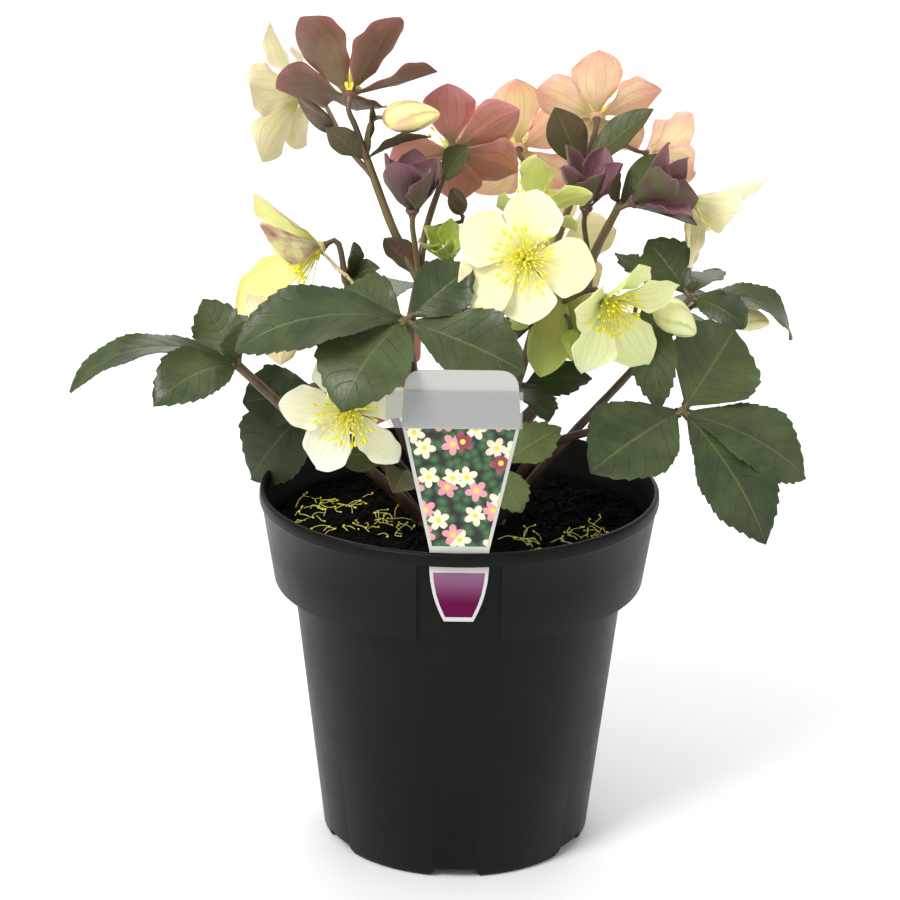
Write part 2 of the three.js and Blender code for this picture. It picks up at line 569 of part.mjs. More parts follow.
// Every stem of the plant, with its bracts, grown from one crown in the soil's surface.
function makeStems(grow = 0) {
  const crown = new THREE.SphereGeometry(1, 10, 6).rotateX(Math.PI / 2);
  crown.scale(...CROWN.map((half) => half + grow)).translate(0, 0, CROWN_HEIGHT);
  const parts = [solidOf(crown)];
  STEMS.forEach(([foot, end, route, target]) => {
    const points = route.map(vec);
    if (target) points.push(...stemEnd(target, points.at(-1)));
    const length = new THREE.CatmullRomCurve3(points).getLength();
    const steps = Math.max(2, Math.min(5, Math.round(length / 27)));
    const radii = Array.from({ length: steps + 1 }, (_, i) => grow + foot + ((end - foot) * i) / steps);
    if (target?.startsWith("bloom")) radii[steps] = grow + STALK_END;
    const sides = foot > 2.4 ? 5 : foot > 1.3 ? 4 : 3;
    parts.push(tube(points, radii, sides, steps));
  });
  BRACTS.forEach(([foot, tip, width, bend, roll], i) => {
    parts.push(blade(bladeTo(vec(foot), vec(tip), roll, {
      outline: "leaf", width, foot: 0.9, bend, camber: 30, wave: 0.4, waves: 1, phase: i, teeth: 0,
      thickness: LEAF_THICKNESS, rows: 3, columns: 2, crowd: 1,
    }), grow));
  });
  return fuse(parts);
}

// A bloom's sepals, each with one edge over its neighbour, in one skin with the disc they grow from.
function makeSepals(b, seed, grow = 0) {
  const { F, U, R } = bloomAxes(b);
  const heart = vec(b.heart);
  const random = randomFrom(seed);
  const points = [mix(heart, [[F, DISC_HALF + grow]]), mix(heart, [[F, -DISC_HALF - grow]])];
  const triangles = [];
  const tilt = SEPAL_TILT + 0.4 * Math.max(0, 58 - b.cup); // a closed bloom's sepals wrap round each other
  const ring = []; // the feet of the sepals, counterclockwise round the disc: upper and lower points
  for (let k = 0; k < SEPALS; k++) {
    const even = [b.turn + (360 / SEPALS) * k + 4 * random(), b.cup + 4 * random()];
    const [turn, cup, share = 1] = b.sepals?.[k] ?? even;
    const [a, open] = [rad(turn), rad(cup)];
    const D = mix(ORIGIN, [[R, Math.cos(a)], [U, Math.sin(a)]]);
    const along = mix(ORIGIN, [[F, Math.cos(open)], [D, Math.sin(open)]]);
    const up = mix(ORIGIN, [[F, Math.sin(open)], [D, -Math.cos(open)]]).applyAxisAngle(along, rad(tilt));
    const width = b.width * (1 + 0.07 * random());
    const wrap = THREE.MathUtils.radToDeg(width / 2 / (0.6 * b.length * Math.tan(Math.min(open, rad(85)))));
    const sepal = bladeSurface({
      base: mix(heart, [[D, DISC_RADIUS]]), along, up, outline: "sepal", foot: SEPAL_FOOT, width,
      length: share * b.length * (1 + 0.06 * random()) - DISC_RADIUS, bend: b.curl + 7 * random(),
      camber: Math.min(12 + wrap, 62), wave: 0.8, waves: 1.4, phase: 3 * random(), teeth: 0,
      thickness: SEPAL_THICKNESS, rows: b.grain[0], columns: b.grain[1], crowd: 1.3,
    }, grow);
    const first = points.length;
    triangles.push(...sepal.triangles.flat().map((i) => i + first));
    for (let v = sepal.across - 1; v >= 0; v--) ring.push([first + v, first + v + sepal.points.length / 2]);
    points.push(...sepal.points);
  }
  ring.forEach(([upper, lower], i) => {
    const [nextUpper, nextLower] = ring[(i + 1) % ring.length];
    triangles.push(0, upper, nextUpper, 1, nextLower, lower);
    const betweenSepals = (i + 1) % (b.grain[1] + 1) === 0;
    if (betweenSepals) triangles.push(upper, lower, nextLower, upper, nextLower, nextUpper);
  });
  return solid(points, triangles);
}

// The heart of an open bloom in one skin: a low drum, whose top faces are drawn out into a ring of
// stamens, each thickening to its anther, round the joined carpels in the middle.
function makeHeart(b, seed, grow = 0) {
  const { F, U, R } = bloomAxes(b);
  const random = randomFrom(seed);
  const seat = mix(vec(b.heart), [[F, DISC_HALF + SEAT_GAP]]);
  const count = b.stamens;
  const outward = (a) => mix(ORIGIN, [[R, Math.cos(a)], [U, Math.sin(a)]]);
  const ring = (n, radius, height) => Array.from({ length: n }, (_, k) =>
    mix(seat, [[F, height], [outward((2 * Math.PI * k) / n), radius + grow]]));
  const points = [...ring(count, 2.6, -grow), ...ring(count, 3, 2 + grow), ...ring(3, 1.1, 2.8 + grow)];
  const triangles = [];

  // Draws a top face out to a point: through a narrow neck, and through its thickest place near the tip.
  const drawOut = (face, out, length, neck, thickest) => {
    const centre = mix(ORIGIN, face.map((i) => [points[i], 1 / 3]));
    const away = face.map((i) => {
      const arm = points[i].clone().sub(centre);
      return arm.addScaledVector(out, -arm.dot(out)).normalize();
    });
    let last = face;
    [[0.2, neck], [0.82, thickest]].forEach(([share, radius]) => {
      const at = (arm) => mix(centre, [[out, share * length], [arm, radius + grow]]);
      const next = away.map((arm) => points.push(at(arm)) - 1);
      for (let k = 0; k < 3; k++) {
        const j = (k + 1) % 3;
        triangles.push(last[k], last[j], next[j], last[k], next[j], next[k]);
      }
      last = next;
    });
    const tip = points.push(mix(centre, [[out, length + grow]])) - 1;
    for (let k = 0; k < 3; k++) triangles.push(last[k], last[(k + 1) % 3], tip);
  };

  const inner = 2 * count; // the first of the three points round the carpels
  const widest = Math.min(b.cup - 12, 64);
  const nearest = (k) => inner + (Math.round((3 * (k + 0.5)) / count) % 3);
  for (let k = 0; k < count; k++) {
    const j = (k + 1) % count;
    triangles.push(k, j, count + j, k, count + j, count + k);
    if (k > 1) triangles.push(0, k, k - 1);
    const before = nearest((k + count - 1) % count);
    if (before !== nearest(k)) triangles.push(count + k, nearest(k), before);
    const spread = rad(widest * [0.95, 0.55, 0.8, 0.4][k % 4]);
    const D = outward((2 * Math.PI * (k + 0.5)) / count);
    const out = mix(ORIGIN, [[F, Math.cos(spread)], [D, Math.sin(spread)]]);
    drawOut([count + k, count + j, nearest(k)], out, b.length * (0.38 + 0.04 * random()), 0.35, 0.8);
  }
  drawOut([inner, inner + 1, inner + 2], F, 10, 0.9, 1.3);
  return solid(points, triangles);
}

// A closed bud: an egg with five shallow lobes where its sepals wrap round each other.
function makeBud([foot, tip, radius], grow = 0) {
  const [a, b] = [vec(foot), vec(tip)];
  const axis = b.clone().sub(a);
  const made = new THREE.SphereGeometry(1, 8, 6);
  const at = made.getAttribute("position");
  const turn = new THREE.Quaternion().setFromUnitVectors(vec([0, 1, 0]), axis.clone().normalize());
  for (let i = 0; i < at.count; i++) {
    const p = new THREE.Vector3().fromBufferAttribute(at, i);
    const share = (p.y + 1) / 2;
    const slim = (1.12 - 0.5 * share * share) * (radius + grow);
    p.set(p.x * slim, (share - 0.5) * (axis.length() + 2 * grow), p.z * slim).applyQuaternion(turn);
    p.addScaledVector(a, 0.5).addScaledVector(b, 0.5);
    at.setXYZ(i, ...p.toArray());
  }
  return solidOf(made);
}

// A compound leaf: toothed leaflets round one hub.
function makeLeaf([hub, , rows, leaflets], grow = 0) {
  const parts = [solidOf(new THREE.IcosahedronGeometry(HUB_RADIUS + grow, 0).translate(...hub))];
  leaflets.forEach(([tip, width, bend, roll], i) => {
    const out = vec(tip).sub(vec(hub)).normalize();
    parts.push(blade(bladeTo(mix(vec(hub), [[out, 2]]), vec(tip), roll, {
      outline: "leaf", width, foot: 1.1, bend, camber: -16, wave: 1.2, waves: 1.2, phase: 2 * i, teeth: 0.14,
      thickness: LEAF_THICKNESS, rows, columns: 2, crowd: 1,
    }), grow));
  });
  return fuse(parts);
}

// ---- Assembly ----
// Colour and roughness of each kind of piece.
const COLOURS = {
  pot: ["#2b2a2b", 0.5], soil: ["#17120e", 1], label: ["#e9e9e6", 0.4], strip: ["#d9d9da", 0.35],
  stem: ["#4a3a2c", 0.6], leaf: ["#3f5744", 0.5], shade: ["#2f4428", 0.55], pale: ["#8c9a66", 0.6],
  cream: ["#f1f0c4", 0.6], white: ["#eef0dc", 0.6], lime: ["#dfeaa6", 0.6], green: ["#b9cc66", 0.6],
  bronze: ["#84504a", 0.6], rose: ["#b06a62", 0.6], peach: ["#e3b193", 0.6], blush: ["#d9b48c", 0.6],
  plum: ["#6a4050", 0.6], heart: ["#e6d838", 0.6], bud: ["#e9dba0", 0.6],
};

const plant = new THREE.Group();
const kept = []; // the space that each finished piece keeps clear

// Cuts a new piece clear of the finished ones, adds its mesh, and records the space it keeps.
function add(name, colour, make) {
  const whole = make(0);
  const box = whole.boundingBox();
  const near = kept.filter(({ box: other }) =>
    [0, 1, 2].every((k) => box.min[k] < other.max[k] && box.max[k] > other.min[k]));
  const made = largest(near.length ? whole.subtract(fuse(near.map(({ space }) => space))) : whole);
  const space = make(SEAT_GAP);
  kept.push({ space, box: space.boundingBox() });
  const { vertProperties, numProp, triVerts } = made.getMesh();
  const geometry = new THREE.BufferGeometry();
  geometry.setAttribute("position", new THREE.BufferAttribute(vertProperties, numProp));
  geometry.setIndex(new THREE.BufferAttribute(triVerts, 1));
  const [hex, roughness] = COLOURS[colour];
  const piece = new THREE.Mesh(geometry, new THREE.MeshStandardMaterial({ color: hex, roughness }));
  piece.name = name;
  plant.add(piece);
}

add("pot", "pot", () => makePot());
add("label", "label", makeLabel);
add("label_strip", "strip", makeStrip);
add("stems", "stem", makeStems);
Object.entries(BLOOMS).forEach(([name, b], i) => {
  add(`bloom_${name}`, b.colour, (grow) => makeSepals(b, i + 11, grow));
  if (b.stamens) add(`heart_${name}`, "heart", (grow) => makeHeart(b, i + 11, grow));
});
Object.entries(BUDS).forEach(([name, b]) => add(`bud_${name}`, "bud", (grow) => makeBud(b, grow)));
Object.entries(LEAVES).forEach(([name, leaf]) => add(`leaf_${name}`, leaf[1], (grow) => makeLeaf(leaf, grow)));
add("soil", "soil", () => makeSoil());

export default plant;
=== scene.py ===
# %% [markdown]
# # A flowering hellebore in its nursery pot
# The object is a round plastic pot of potting mix with one hellebore in it. Twenty blooms and six buds
# stand on branching stems over a skirt of divided, leathery leaves, and a plant label is clipped through
# the pot's rim. Each part of the plant is already a coarse solid in the frame. This script puts a finer
# piece over each of them, in the same place and form.
#
# A plant is many repeats of few shapes: a sepal, a leaflet, a stamen and a stem. So the script has one
# function for each of these, and plain tables say where they grow. A change to the sepal then shows on
# every bloom at once, which is how plants work too.

import json
import math

import bmesh
import bpy
import numpy as np
from mathutils import Matrix, Vector

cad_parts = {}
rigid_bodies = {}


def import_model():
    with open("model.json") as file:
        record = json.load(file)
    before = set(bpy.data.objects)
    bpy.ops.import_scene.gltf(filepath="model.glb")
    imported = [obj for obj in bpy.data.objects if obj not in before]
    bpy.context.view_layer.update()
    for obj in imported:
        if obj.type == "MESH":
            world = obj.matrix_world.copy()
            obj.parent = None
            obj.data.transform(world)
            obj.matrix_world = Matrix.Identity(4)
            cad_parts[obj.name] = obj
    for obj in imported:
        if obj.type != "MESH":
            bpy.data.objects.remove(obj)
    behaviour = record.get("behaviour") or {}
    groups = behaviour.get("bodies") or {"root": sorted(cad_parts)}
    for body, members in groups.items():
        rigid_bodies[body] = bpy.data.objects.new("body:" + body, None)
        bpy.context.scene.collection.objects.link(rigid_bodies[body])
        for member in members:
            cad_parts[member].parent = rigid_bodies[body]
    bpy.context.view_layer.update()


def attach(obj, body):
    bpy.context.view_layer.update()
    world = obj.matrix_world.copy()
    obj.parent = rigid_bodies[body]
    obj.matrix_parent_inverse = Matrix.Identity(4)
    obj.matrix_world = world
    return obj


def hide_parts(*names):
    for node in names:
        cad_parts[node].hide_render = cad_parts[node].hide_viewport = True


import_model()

# %% [markdown]
# ## The camera
# A camera with a long lens stands a little above the pot's rim and looks slightly down. Long lenses
# flatten depth, which is why product pictures of plants are taken with them. The camera is made first, so
# that every piece can be looked at as soon as it is there.

# %% Set the camera
MM = 0.001
LOOK_AT = Vector((-4.7, 0, 192.4)) * MM
DISTANCE = 1300 * MM
ELEVATION = math.radians(18.4)
ROLL = math.radians(0.7)


def put_in_scene(name, data):
    """An object that shows this mesh, light or camera."""
    made = bpy.data.objects.new(name, data)
    bpy.context.collection.objects.link(made)
    return made


camera_data = bpy.data.cameras.new("camera")
camera_data.lens = 109.7
camera_data.sensor_width = 36
camera_data.clip_end = 20
camera = put_in_scene("camera", camera_data)
back = Vector((0, -math.cos(ELEVATION), math.sin(ELEVATION)))
aim = back.to_track_quat("Z", "Y").to_matrix() @ Matrix.Rotation(ROLL, 3, "Z")
camera.matrix_world = Matrix.Translation(LOOK_AT + DISTANCE * back) @ aim.to_4x4()
bpy.context.scene.camera = camera
bpy.context.scene.view_settings.view_transform = "Standard"
print("camera at", [round(v, 3) for v in camera.matrix_world.translation])

# %% [markdown]
# ## Colours and nodes
# Colours are read off real things as sRGB hex values, as a colour picker gives them. Blender mixes light
# in linear values, so one function turns each hex value to linear. One more function adds a node, sets it
# up and links it. With it a material reads as a list of what feeds what.

# %% Helpers for materials
def linear(hex_colour):
    srgb = [int(hex_colour[i:i + 2], 16) / 255 for i in (1, 3, 5)]
    return [c / 12.92 if c <= 0.04045 else ((c + 0.055) / 1.055) ** 2.4 for c in srgb] + [1.0]


def add(tree, kind, inputs=(), **settings):
    """Adds a node and returns it. An input is a value, a hex colour, or a node or output to link from."""
    made = tree.nodes.new(kind)
    for key, value in settings.items():
        setattr(made, key, value)
    for key, value in inputs.items() if isinstance(inputs, dict) else enumerate(inputs):
        if isinstance(value, bpy.types.Node):
            value = next(out for out in value.outputs if out.enabled)
        if isinstance(value, bpy.types.NodeSocket):
            tree.links.new(value, made.inputs[key])
        elif isinstance(value, str) and value.startswith("#"):
            made.inputs[key].default_value = linear(value)
        else:
            made.inputs[key].default_value = value
    return made


def new_tree(name):
    """A new material and its node tree, which is still empty."""
    made = bpy.data.materials.new(name)
    made.use_nodes = True
    made.node_tree.nodes.clear()
    return made, made.node_tree


# %% [markdown]
# ## Sepals: what a bloom is made of
# What looks like a hellebore's petals are its sepals. They are thin, soft living tissue, a little
# translucent and matt with a faint silkiness, so light scatters inside them and nothing mirrors. Fine
# veins fan out from the base and meet at the tip, and the base is green. Inside and outside often differ:
# a cream bloom can be brown-pink on its back. Each blade carries a UV map whose U runs across it and V
# along it, so lines of one U are veins already.

# %% The sepals' finishes
def place_on_blade(tree):
    """Where a point lies on its blade: its UV, its share across and along it, and from its middle."""
    uv = add(tree, "ShaderNodeUVMap", uv_map="blade")
    across, along = add(tree, "ShaderNodeSeparateXYZ", [uv]).outputs[:2]
    aside = add(tree, "ShaderNodeMath", [across, 0.5], operation="SUBTRACT")
    half = add(tree, "ShaderNodeMath", [aside], operation="ABSOLUTE")
    from_middle = add(tree, "ShaderNodeMath", [half, 2], operation="MULTIPLY")
    return uv, across, along, from_middle


def sepal_material(name, base, body, edge, vein, old):
    """A sepal's face: base, body, edge and vein colours, and the colour that an old one turns to."""
    made, tree = new_tree(name)
    uv, across, along, from_middle = place_on_blade(tree)
    # Soft patches, about 12 mm across, as the flush of colour on a real sepal.
    place = add(tree, "ShaderNodeTexCoord").outputs["Object"]
    patches = add(tree, "ShaderNodeTexNoise", {"Vector": place, "Scale": 80, "Detail": 3})
    shift = add(tree, "ShaderNodeMapRange", [patches, 0, 1, -0.17, 0.17])
    uneven = add(tree, "ShaderNodeMath", [along, shift], operation="ADD")
    grown = add(tree, "ShaderNodeMapRange", [uneven, 0.02, 0.42], interpolation_type="SMOOTHSTEP")
    colour = add(tree, "ShaderNodeMix", {0: grown, 6: base, 7: body}, data_type="RGBA")
    rim = add(tree, "ShaderNodeMath", [from_middle, uneven], operation="MAXIMUM")
    at_rim = add(tree, "ShaderNodeMapRange", [rim, 0.62, 1.02, 0, 0.75], interpolation_type="SMOOTHSTEP")
    colour = add(tree, "ShaderNodeMix", {0: at_rim, 6: colour, 7: edge}, data_type="RGBA")
    # Six veins fan out over the width, bent a little by the patches, with a fine net between them.
    bent = add(tree, "ShaderNodeMath", [shift, 0.14, across], operation="MULTIPLY_ADD")
    fan = add(tree, "ShaderNodeMath", [bent, 1 / 11], operation="PINGPONG")
    veins = add(tree, "ShaderNodeMapRange", [fan, 0, 0.022, 1, 0], interpolation_type="SMOOTHSTEP")
    spread = add(tree, "ShaderNodeMapping", {"Vector": uv, "Scale": (22, 13, 1)})
    cells = add(tree, "ShaderNodeTexVoronoi", {"Vector": spread, "Scale": 1},
                feature="DISTANCE_TO_EDGE", voronoi_dimensions="2D")
    net = add(tree, "ShaderNodeMapRange", [cells, 0, 0.12, 0.45, 0], interpolation_type="SMOOTHSTEP")
    lines = add(tree, "ShaderNodeMath", [veins, net], operation="MAXIMUM")
    drawn = add(tree, "ShaderNodeMath", [lines, 0.4], operation="MULTIPLY")
    colour = add(tree, "ShaderNodeMix", {0: drawn, 6: colour, 7: vein}, data_type="RGBA")
    age = add(tree, "ShaderNodeAttribute", attribute_name="tint").outputs["Fac"]
    flush = add(tree, "ShaderNodeMapRange", [patches, 0.35, 0.6, 0, age])
    colour = add(tree, "ShaderNodeMix", {0: flush, 6: colour, 7: old}, data_type="RGBA")
    bump = add(tree, "ShaderNodeBump", {"Strength": 0.35, "Distance": 0.4 * MM, "Height": lines})
    skin = add(tree, "ShaderNodeBsdfPrincipled", {
        "Base Color": colour, "Roughness": 0.5, "Normal": bump, "Sheen Weight": 0.08,
        "Subsurface Weight": 0.42, "Subsurface Radius": (1.0, 0.9, 0.5), "Subsurface Scale": 1.2 * MM})
    add(tree, "ShaderNodeOutputMaterial", [skin])
    return made


# Base, body, edge, vein and old colours of a sepal's inside, then of its outside.
SEPAL_COLOURS = {
    "cream": [("#c6d04c", "#f8f5c4", "#fbf9d6", "#e6e7a0", "#f0dfa4"),
              ("#b2b85a", "#f2eabc", "#f6e8ca", "#d4d08c", "#dab696")],
    "white": [("#b8c84a", "#e9ead2", "#f2f2e2", "#cfd69c", "#e2deb0"),
              ("#a5b65c", "#ecebc6", "#f4efd6", "#cdd496", "#ddcba0")],
    "lime": [("#748f2c", "#eef2b4", "#f7f7d0", "#c0d070", "#d8e28e"),
             ("#8ba63e", "#cfda78", "#e6e89c", "#a4b852", "#bfca6c")],
    "green": [("#84992e", "#b2c452", "#d0dc7e", "#8ea43c", "#c8c676"),
              ("#70862c", "#93a83e", "#bcc868", "#769032", "#b4a868")],
    "bronze": [("#86843c", "#b4886a", "#b47268", "#845446", "#9c7a58"),
               ("#5c4c2a", "#67452f", "#93544e", "#3c241a", "#7a6844")],
    "rose": [("#98963f", "#dcb088", "#d88c88", "#ae6e5a", "#ca986a"),
             ("#7a6c3c", "#ba7a70", "#d48e98", "#854a4a", "#ae8058")],
    "peach": [("#b8b456", "#f8e4b8", "#f6bca8", "#dcae86", "#f2cfa0"),
              ("#b4aa58", "#f3d8b0", "#f0aca4", "#cf9a80", "#e8aa9c")],
    "blush": [("#a8b846", "#eaf09a", "#f2e8b0", "#c8d070", "#e6da8c"),
              ("#7f8440", "#e6dfa0", "#edd2a4", "#b0a068", "#9a5c50")],
    "plum": [("#6a6238", "#825460", "#a66c7e", "#54303a", "#70604a"),
             ("#4c4a2a", "#5a3d3c", "#8c4e68", "#362226", "#565a34")],
}
sepal_faces = {kind: [sepal_material(f"{kind}_sepal_{side}", *colours)
                      for side, colours in zip(("inside", "outside"), sides)]
               for kind, sides in SEPAL_COLOURS.items()}
print("sepal finishes:", len(sepal_faces) * 2)

# %% [markdown]
# ## Leaves: leathery, with a net of veins
# A hellebore leaf is thick and dark under a waxy skin, so it has a broad, soft gloss. Its veins lie in
# grooves: a midrib, side veins that leave it in pairs and lean forwards, and a fine net between them. On
# the upper face the midrib is paler than the blade, and the side veins and net are drawn darker, as
# painted shade in their grooves. The same three numbers place the side veins here and in the blade's
# relief, so that colour and form agree. The underside has no wax: it is paler and matt.

# %% The leaves' finishes
SIDE_VEINS = 8  # pairs of side veins on a leaflet
VEIN_LEAN = 0.24  # how far along the leaflet a side vein runs on its way to the edge
VEIN_BOW = 1.3  # above 1 a side vein leaves the midrib steeply and then bows forwards


def leaf_material(name, blade_colour, light, vein, rib, roughness, depth):
    """A leaflet's face: blade, patch, vein and midrib colours, its gloss, and how deep its veins lie."""
    made, tree = new_tree(name)
    uv, _, along, from_middle = place_on_blade(tree)
    # Patches, about 17 mm across, in which the green is lighter and the gloss duller.
    place = add(tree, "ShaderNodeTexCoord").outputs["Object"]
    patches = add(tree, "ShaderNodeTexNoise", {"Vector": place, "Scale": 60, "Detail": 4})
    # Side veins: lines of one value of (along - lean), repeated, that grow finer towards the edge.
    bow = add(tree, "ShaderNodeMath", [from_middle, VEIN_BOW], operation="POWER")
    leant = add(tree, "ShaderNodeMath", [bow, -VEIN_LEAN, along], operation="MULTIPLY_ADD")
    stray = add(tree, "ShaderNodeMapRange", [patches, 0.2, 0.8, -0.3, 0.3])
    turns = add(tree, "ShaderNodeMath", [leant, SIDE_VEINS, stray], operation="MULTIPLY_ADD")
    to_vein = add(tree, "ShaderNodeMath", [turns, 0.5], operation="PINGPONG")
    thin = add(tree, "ShaderNodeMapRange", [from_middle, 0, 1, 0.05, 0.015])
    side_veins = add(tree, "ShaderNodeMapRange", [to_vein, 0, thin, 1, 0], interpolation_type="SMOOTHSTEP")
    midrib = add(tree, "ShaderNodeMapRange", [from_middle, 0.01, 0.05, 1, 0],
                 interpolation_type="SMOOTHSTEP")
    spread = add(tree, "ShaderNodeMapping", {"Vector": uv, "Scale": (9, 15, 1)})
    wobbly = add(tree, "ShaderNodeVectorMath", [spread, patches], operation="ADD")
    cells = add(tree, "ShaderNodeTexVoronoi", {"Vector": wobbly, "Scale": 1},
                feature="DISTANCE_TO_EDGE", voronoi_dimensions="2D")
    net = add(tree, "ShaderNodeMapRange", [cells, 0, 0.06, 0.26, 0], interpolation_type="SMOOTHSTEP")
    veins = add(tree, "ShaderNodeMath", [side_veins, net], operation="MAXIMUM")
    flush = add(tree, "ShaderNodeMapRange", [patches, 0.3, 0.75], interpolation_type="SMOOTHSTEP")
    colour = add(tree, "ShaderNodeMix", {0: flush, 6: blade_colour, 7: light}, data_type="RGBA")
    tint = add(tree, "ShaderNodeAttribute", attribute_name="tint").outputs["Fac"]
    paler = add(tree, "ShaderNodeMath", [tint, 0.25], operation="MULTIPLY")
    colour = add(tree, "ShaderNodeMix", {0: paler, 6: colour, 7: rib}, data_type="RGBA")
    # On the upper faces the vein colour is darker than the blade: painted shade in the grooves.
    drawn = add(tree, "ShaderNodeMath", [veins, 0.42], operation="MULTIPLY")
    colour = add(tree, "ShaderNodeMix", {0: drawn, 6: colour, 7: vein}, data_type="RGBA")
    ribbed = add(tree, "ShaderNodeMath", [midrib, 0.55], operation="MULTIPLY")
    colour = add(tree, "ShaderNodeMix", {0: ribbed, 6: colour, 7: rib}, data_type="RGBA")
    grooves = add(tree, "ShaderNodeMath", [veins, midrib], operation="MAXIMUM")
    bump = add(tree, "ShaderNodeBump", {"Strength": 0.8, "Distance": abs(depth) * MM, "Height": grooves},
               invert=depth > 0)
    gloss = add(tree, "ShaderNodeMapRange", [patches, 0.2, 0.8, roughness - 0.05, roughness + 0.08])
    skin = add(tree, "ShaderNodeBsdfPrincipled", {
        "Base Color": colour, "Normal": bump, "Roughness": gloss, "Specular IOR Level": 0.36,
        "Subsurface Weight": 0.05, "Subsurface Radius": (0.5, 1.0, 0.3), "Subsurface Scale": 0.8 * MM})
    add(tree, "ShaderNodeOutputMaterial", [skin])
    return made


leaf_faces = {
    "leaf": [leaf_material("leaf_upper", "#2c391e", "#45532c", "#18210f", "#64723c", 0.37, 0.18),
             leaf_material("leaf_under", "#495834", "#5c6b42", "#788858", "#849264", 0.6, -0.2)],
    # The shaded pair are darker copies of the leaf pair, as painted shade for the leaves low in the plant
    # and behind it.
    "shade": [leaf_material("shaded_leaf_upper", "#233017", "#334322", "#151e0f", "#4e6036", 0.4, 0.18),
              leaf_material("shaded_leaf_under", "#3e502c", "#4f6138", "#6a7c4c", "#74865a", 0.6, -0.2)],
    "pale": [leaf_material("young_leaf_upper", "#72824c", "#8c9c60", "#56683a", "#acb884", 0.5, 0.18),
             leaf_material("young_leaf_under", "#7c8c56", "#92a06a", "#a2ae7c", "#b0bc8c", 0.6, -0.2)],
    "bract": [leaf_material("bract_upper", "#38431f", "#524a2b", "#262a16", "#737c44", 0.42, 0.18),
              leaf_material("bract_under", "#4a472c", "#614638", "#3a2e24", "#7a7a4e", 0.5, -0.2)],
}
print("leaf finishes:", sum(len(faces) for faces in leaf_faces.values()))

# %% [markdown]
# ## Stems, stamens and buds
# The stems are watery plant tissue under a smooth skin: brown-red where the sun reaches them and green
# where they are young, with a soft gloss. A thread of yellow-green makes each stamen's stalk, and its head
# is covered in bright yellow pollen, which is a matt powder. Buds are wrapped in the sepals' own colours.

# %% Their finishes
def plain_growth_material(name, first, second, roughness, patch_mm, tip):
    """A smooth plant skin: two colours in patches of a size, and a third colour where tint is 1."""
    made, tree = new_tree(name)
    place = add(tree, "ShaderNodeTexCoord").outputs["Object"]
    upright = add(tree, "ShaderNodeMapping", {"Vector": place, "Scale": (1, 1, 0.35)})
    patches = add(tree, "ShaderNodeTexNoise", {"Vector": upright, "Scale": 1000 / patch_mm, "Detail": 3})
    flush = add(tree, "ShaderNodeMapRange", [patches, 0.35, 0.65], interpolation_type="SMOOTHSTEP")
    colour = add(tree, "ShaderNodeMix", {0: flush, 6: first, 7: second}, data_type="RGBA")
    tint = add(tree, "ShaderNodeAttribute", attribute_name="tint").outputs["Fac"]
    colour = add(tree, "ShaderNodeMix", {0: tint, 6: colour, 7: tip}, data_type="RGBA")
    bump = add(tree, "ShaderNodeBump", {"Strength": 0.2, "Distance": 0.3 * MM, "Height": patches})
    skin = add(tree, "ShaderNodeBsdfPrincipled", {
        "Base Color": colour, "Roughness": roughness, "Normal": bump, "Subsurface Weight": 0.08,
        "Subsurface Radius": (1.0, 0.8, 0.4), "Subsurface Scale": 1.0 * MM})
    add(tree, "ShaderNodeOutputMaterial", [skin])
    return made


stem_skin = plain_growth_material("stem_skin", "#3c291d", "#5c4230", 0.42, 6, "#7a6a42")
filament = plain_growth_material("filament", "#e9e56a", "#f4ef8c", 0.6, 3, "#d0d458")
pollen = plain_growth_material("pollen", "#fdea14", "#fff240", 0.9, 1, "#e8cf2a")
carpel_skin = plain_growth_material("carpel_skin", "#d8d63a", "#efe548", 0.5, 3, "#f6ee70")
bud_skins = {
    "peach": plain_growth_material("peach_bud_skin", "#f4ec9e", "#eed49a", 0.5, 9, "#b25a50"),
    "right": plain_growth_material("cream_bud_skin", "#eff0b4", "#e0e88e", 0.5, 9, "#a2b244"),
    "far_right": plain_growth_material("pale_bud_skin", "#f0ecb0", "#e9d9a4", 0.5, 9, "#b4bc5c"),
    "green": plain_growth_material("green_bud_skin", "#a4b648", "#bcca64", 0.5, 7, "#7a8e30"),
    "dark": plain_growth_material("dark_bud_skin", "#4c3c28", "#5f4636", 0.5, 6, "#76703e"),
    # The side bud's dark skin is painted shade.
    "side": plain_growth_material("shaded_bud_skin", "#4a3e32", "#634c3e", 0.5, 6, "#78724a"),
}
print("bud finishes:", len(bud_skins))

# %% [markdown]
# ## Where everything grows
# The plan is five tables, in millimetres, with the pot's foot at height 0 and the label facing -Y. They
# follow how a hellebore grows: stems fork, bracts sit at the forks, each branch ends in a bloom, a bud or
# a leaf, and a leaf is a fan of leaflets round one knuckle. A bloom's yaw is 0 when it faces the front and
# 90 when it faces the right. Its cup is the angle between its axis and its sepals, so that 30 is half
# open and 80 is nearly flat. Where a bloom's sepals are listed one by one, each has its turn about the
# axis, its cup, and a share of the bloom's length.

# %% The plan of the blooms
def bloom(heart, yaw, pitch, turn, length, width, cup, curl, colour, stamens, sepals=None):
    return {"heart": heart, "yaw": yaw, "pitch": pitch, "turn": turn, "length": length, "width": width,
            "cup": cup, "curl": curl, "colour": colour, "stamens": stamens, "sepals": sepals}


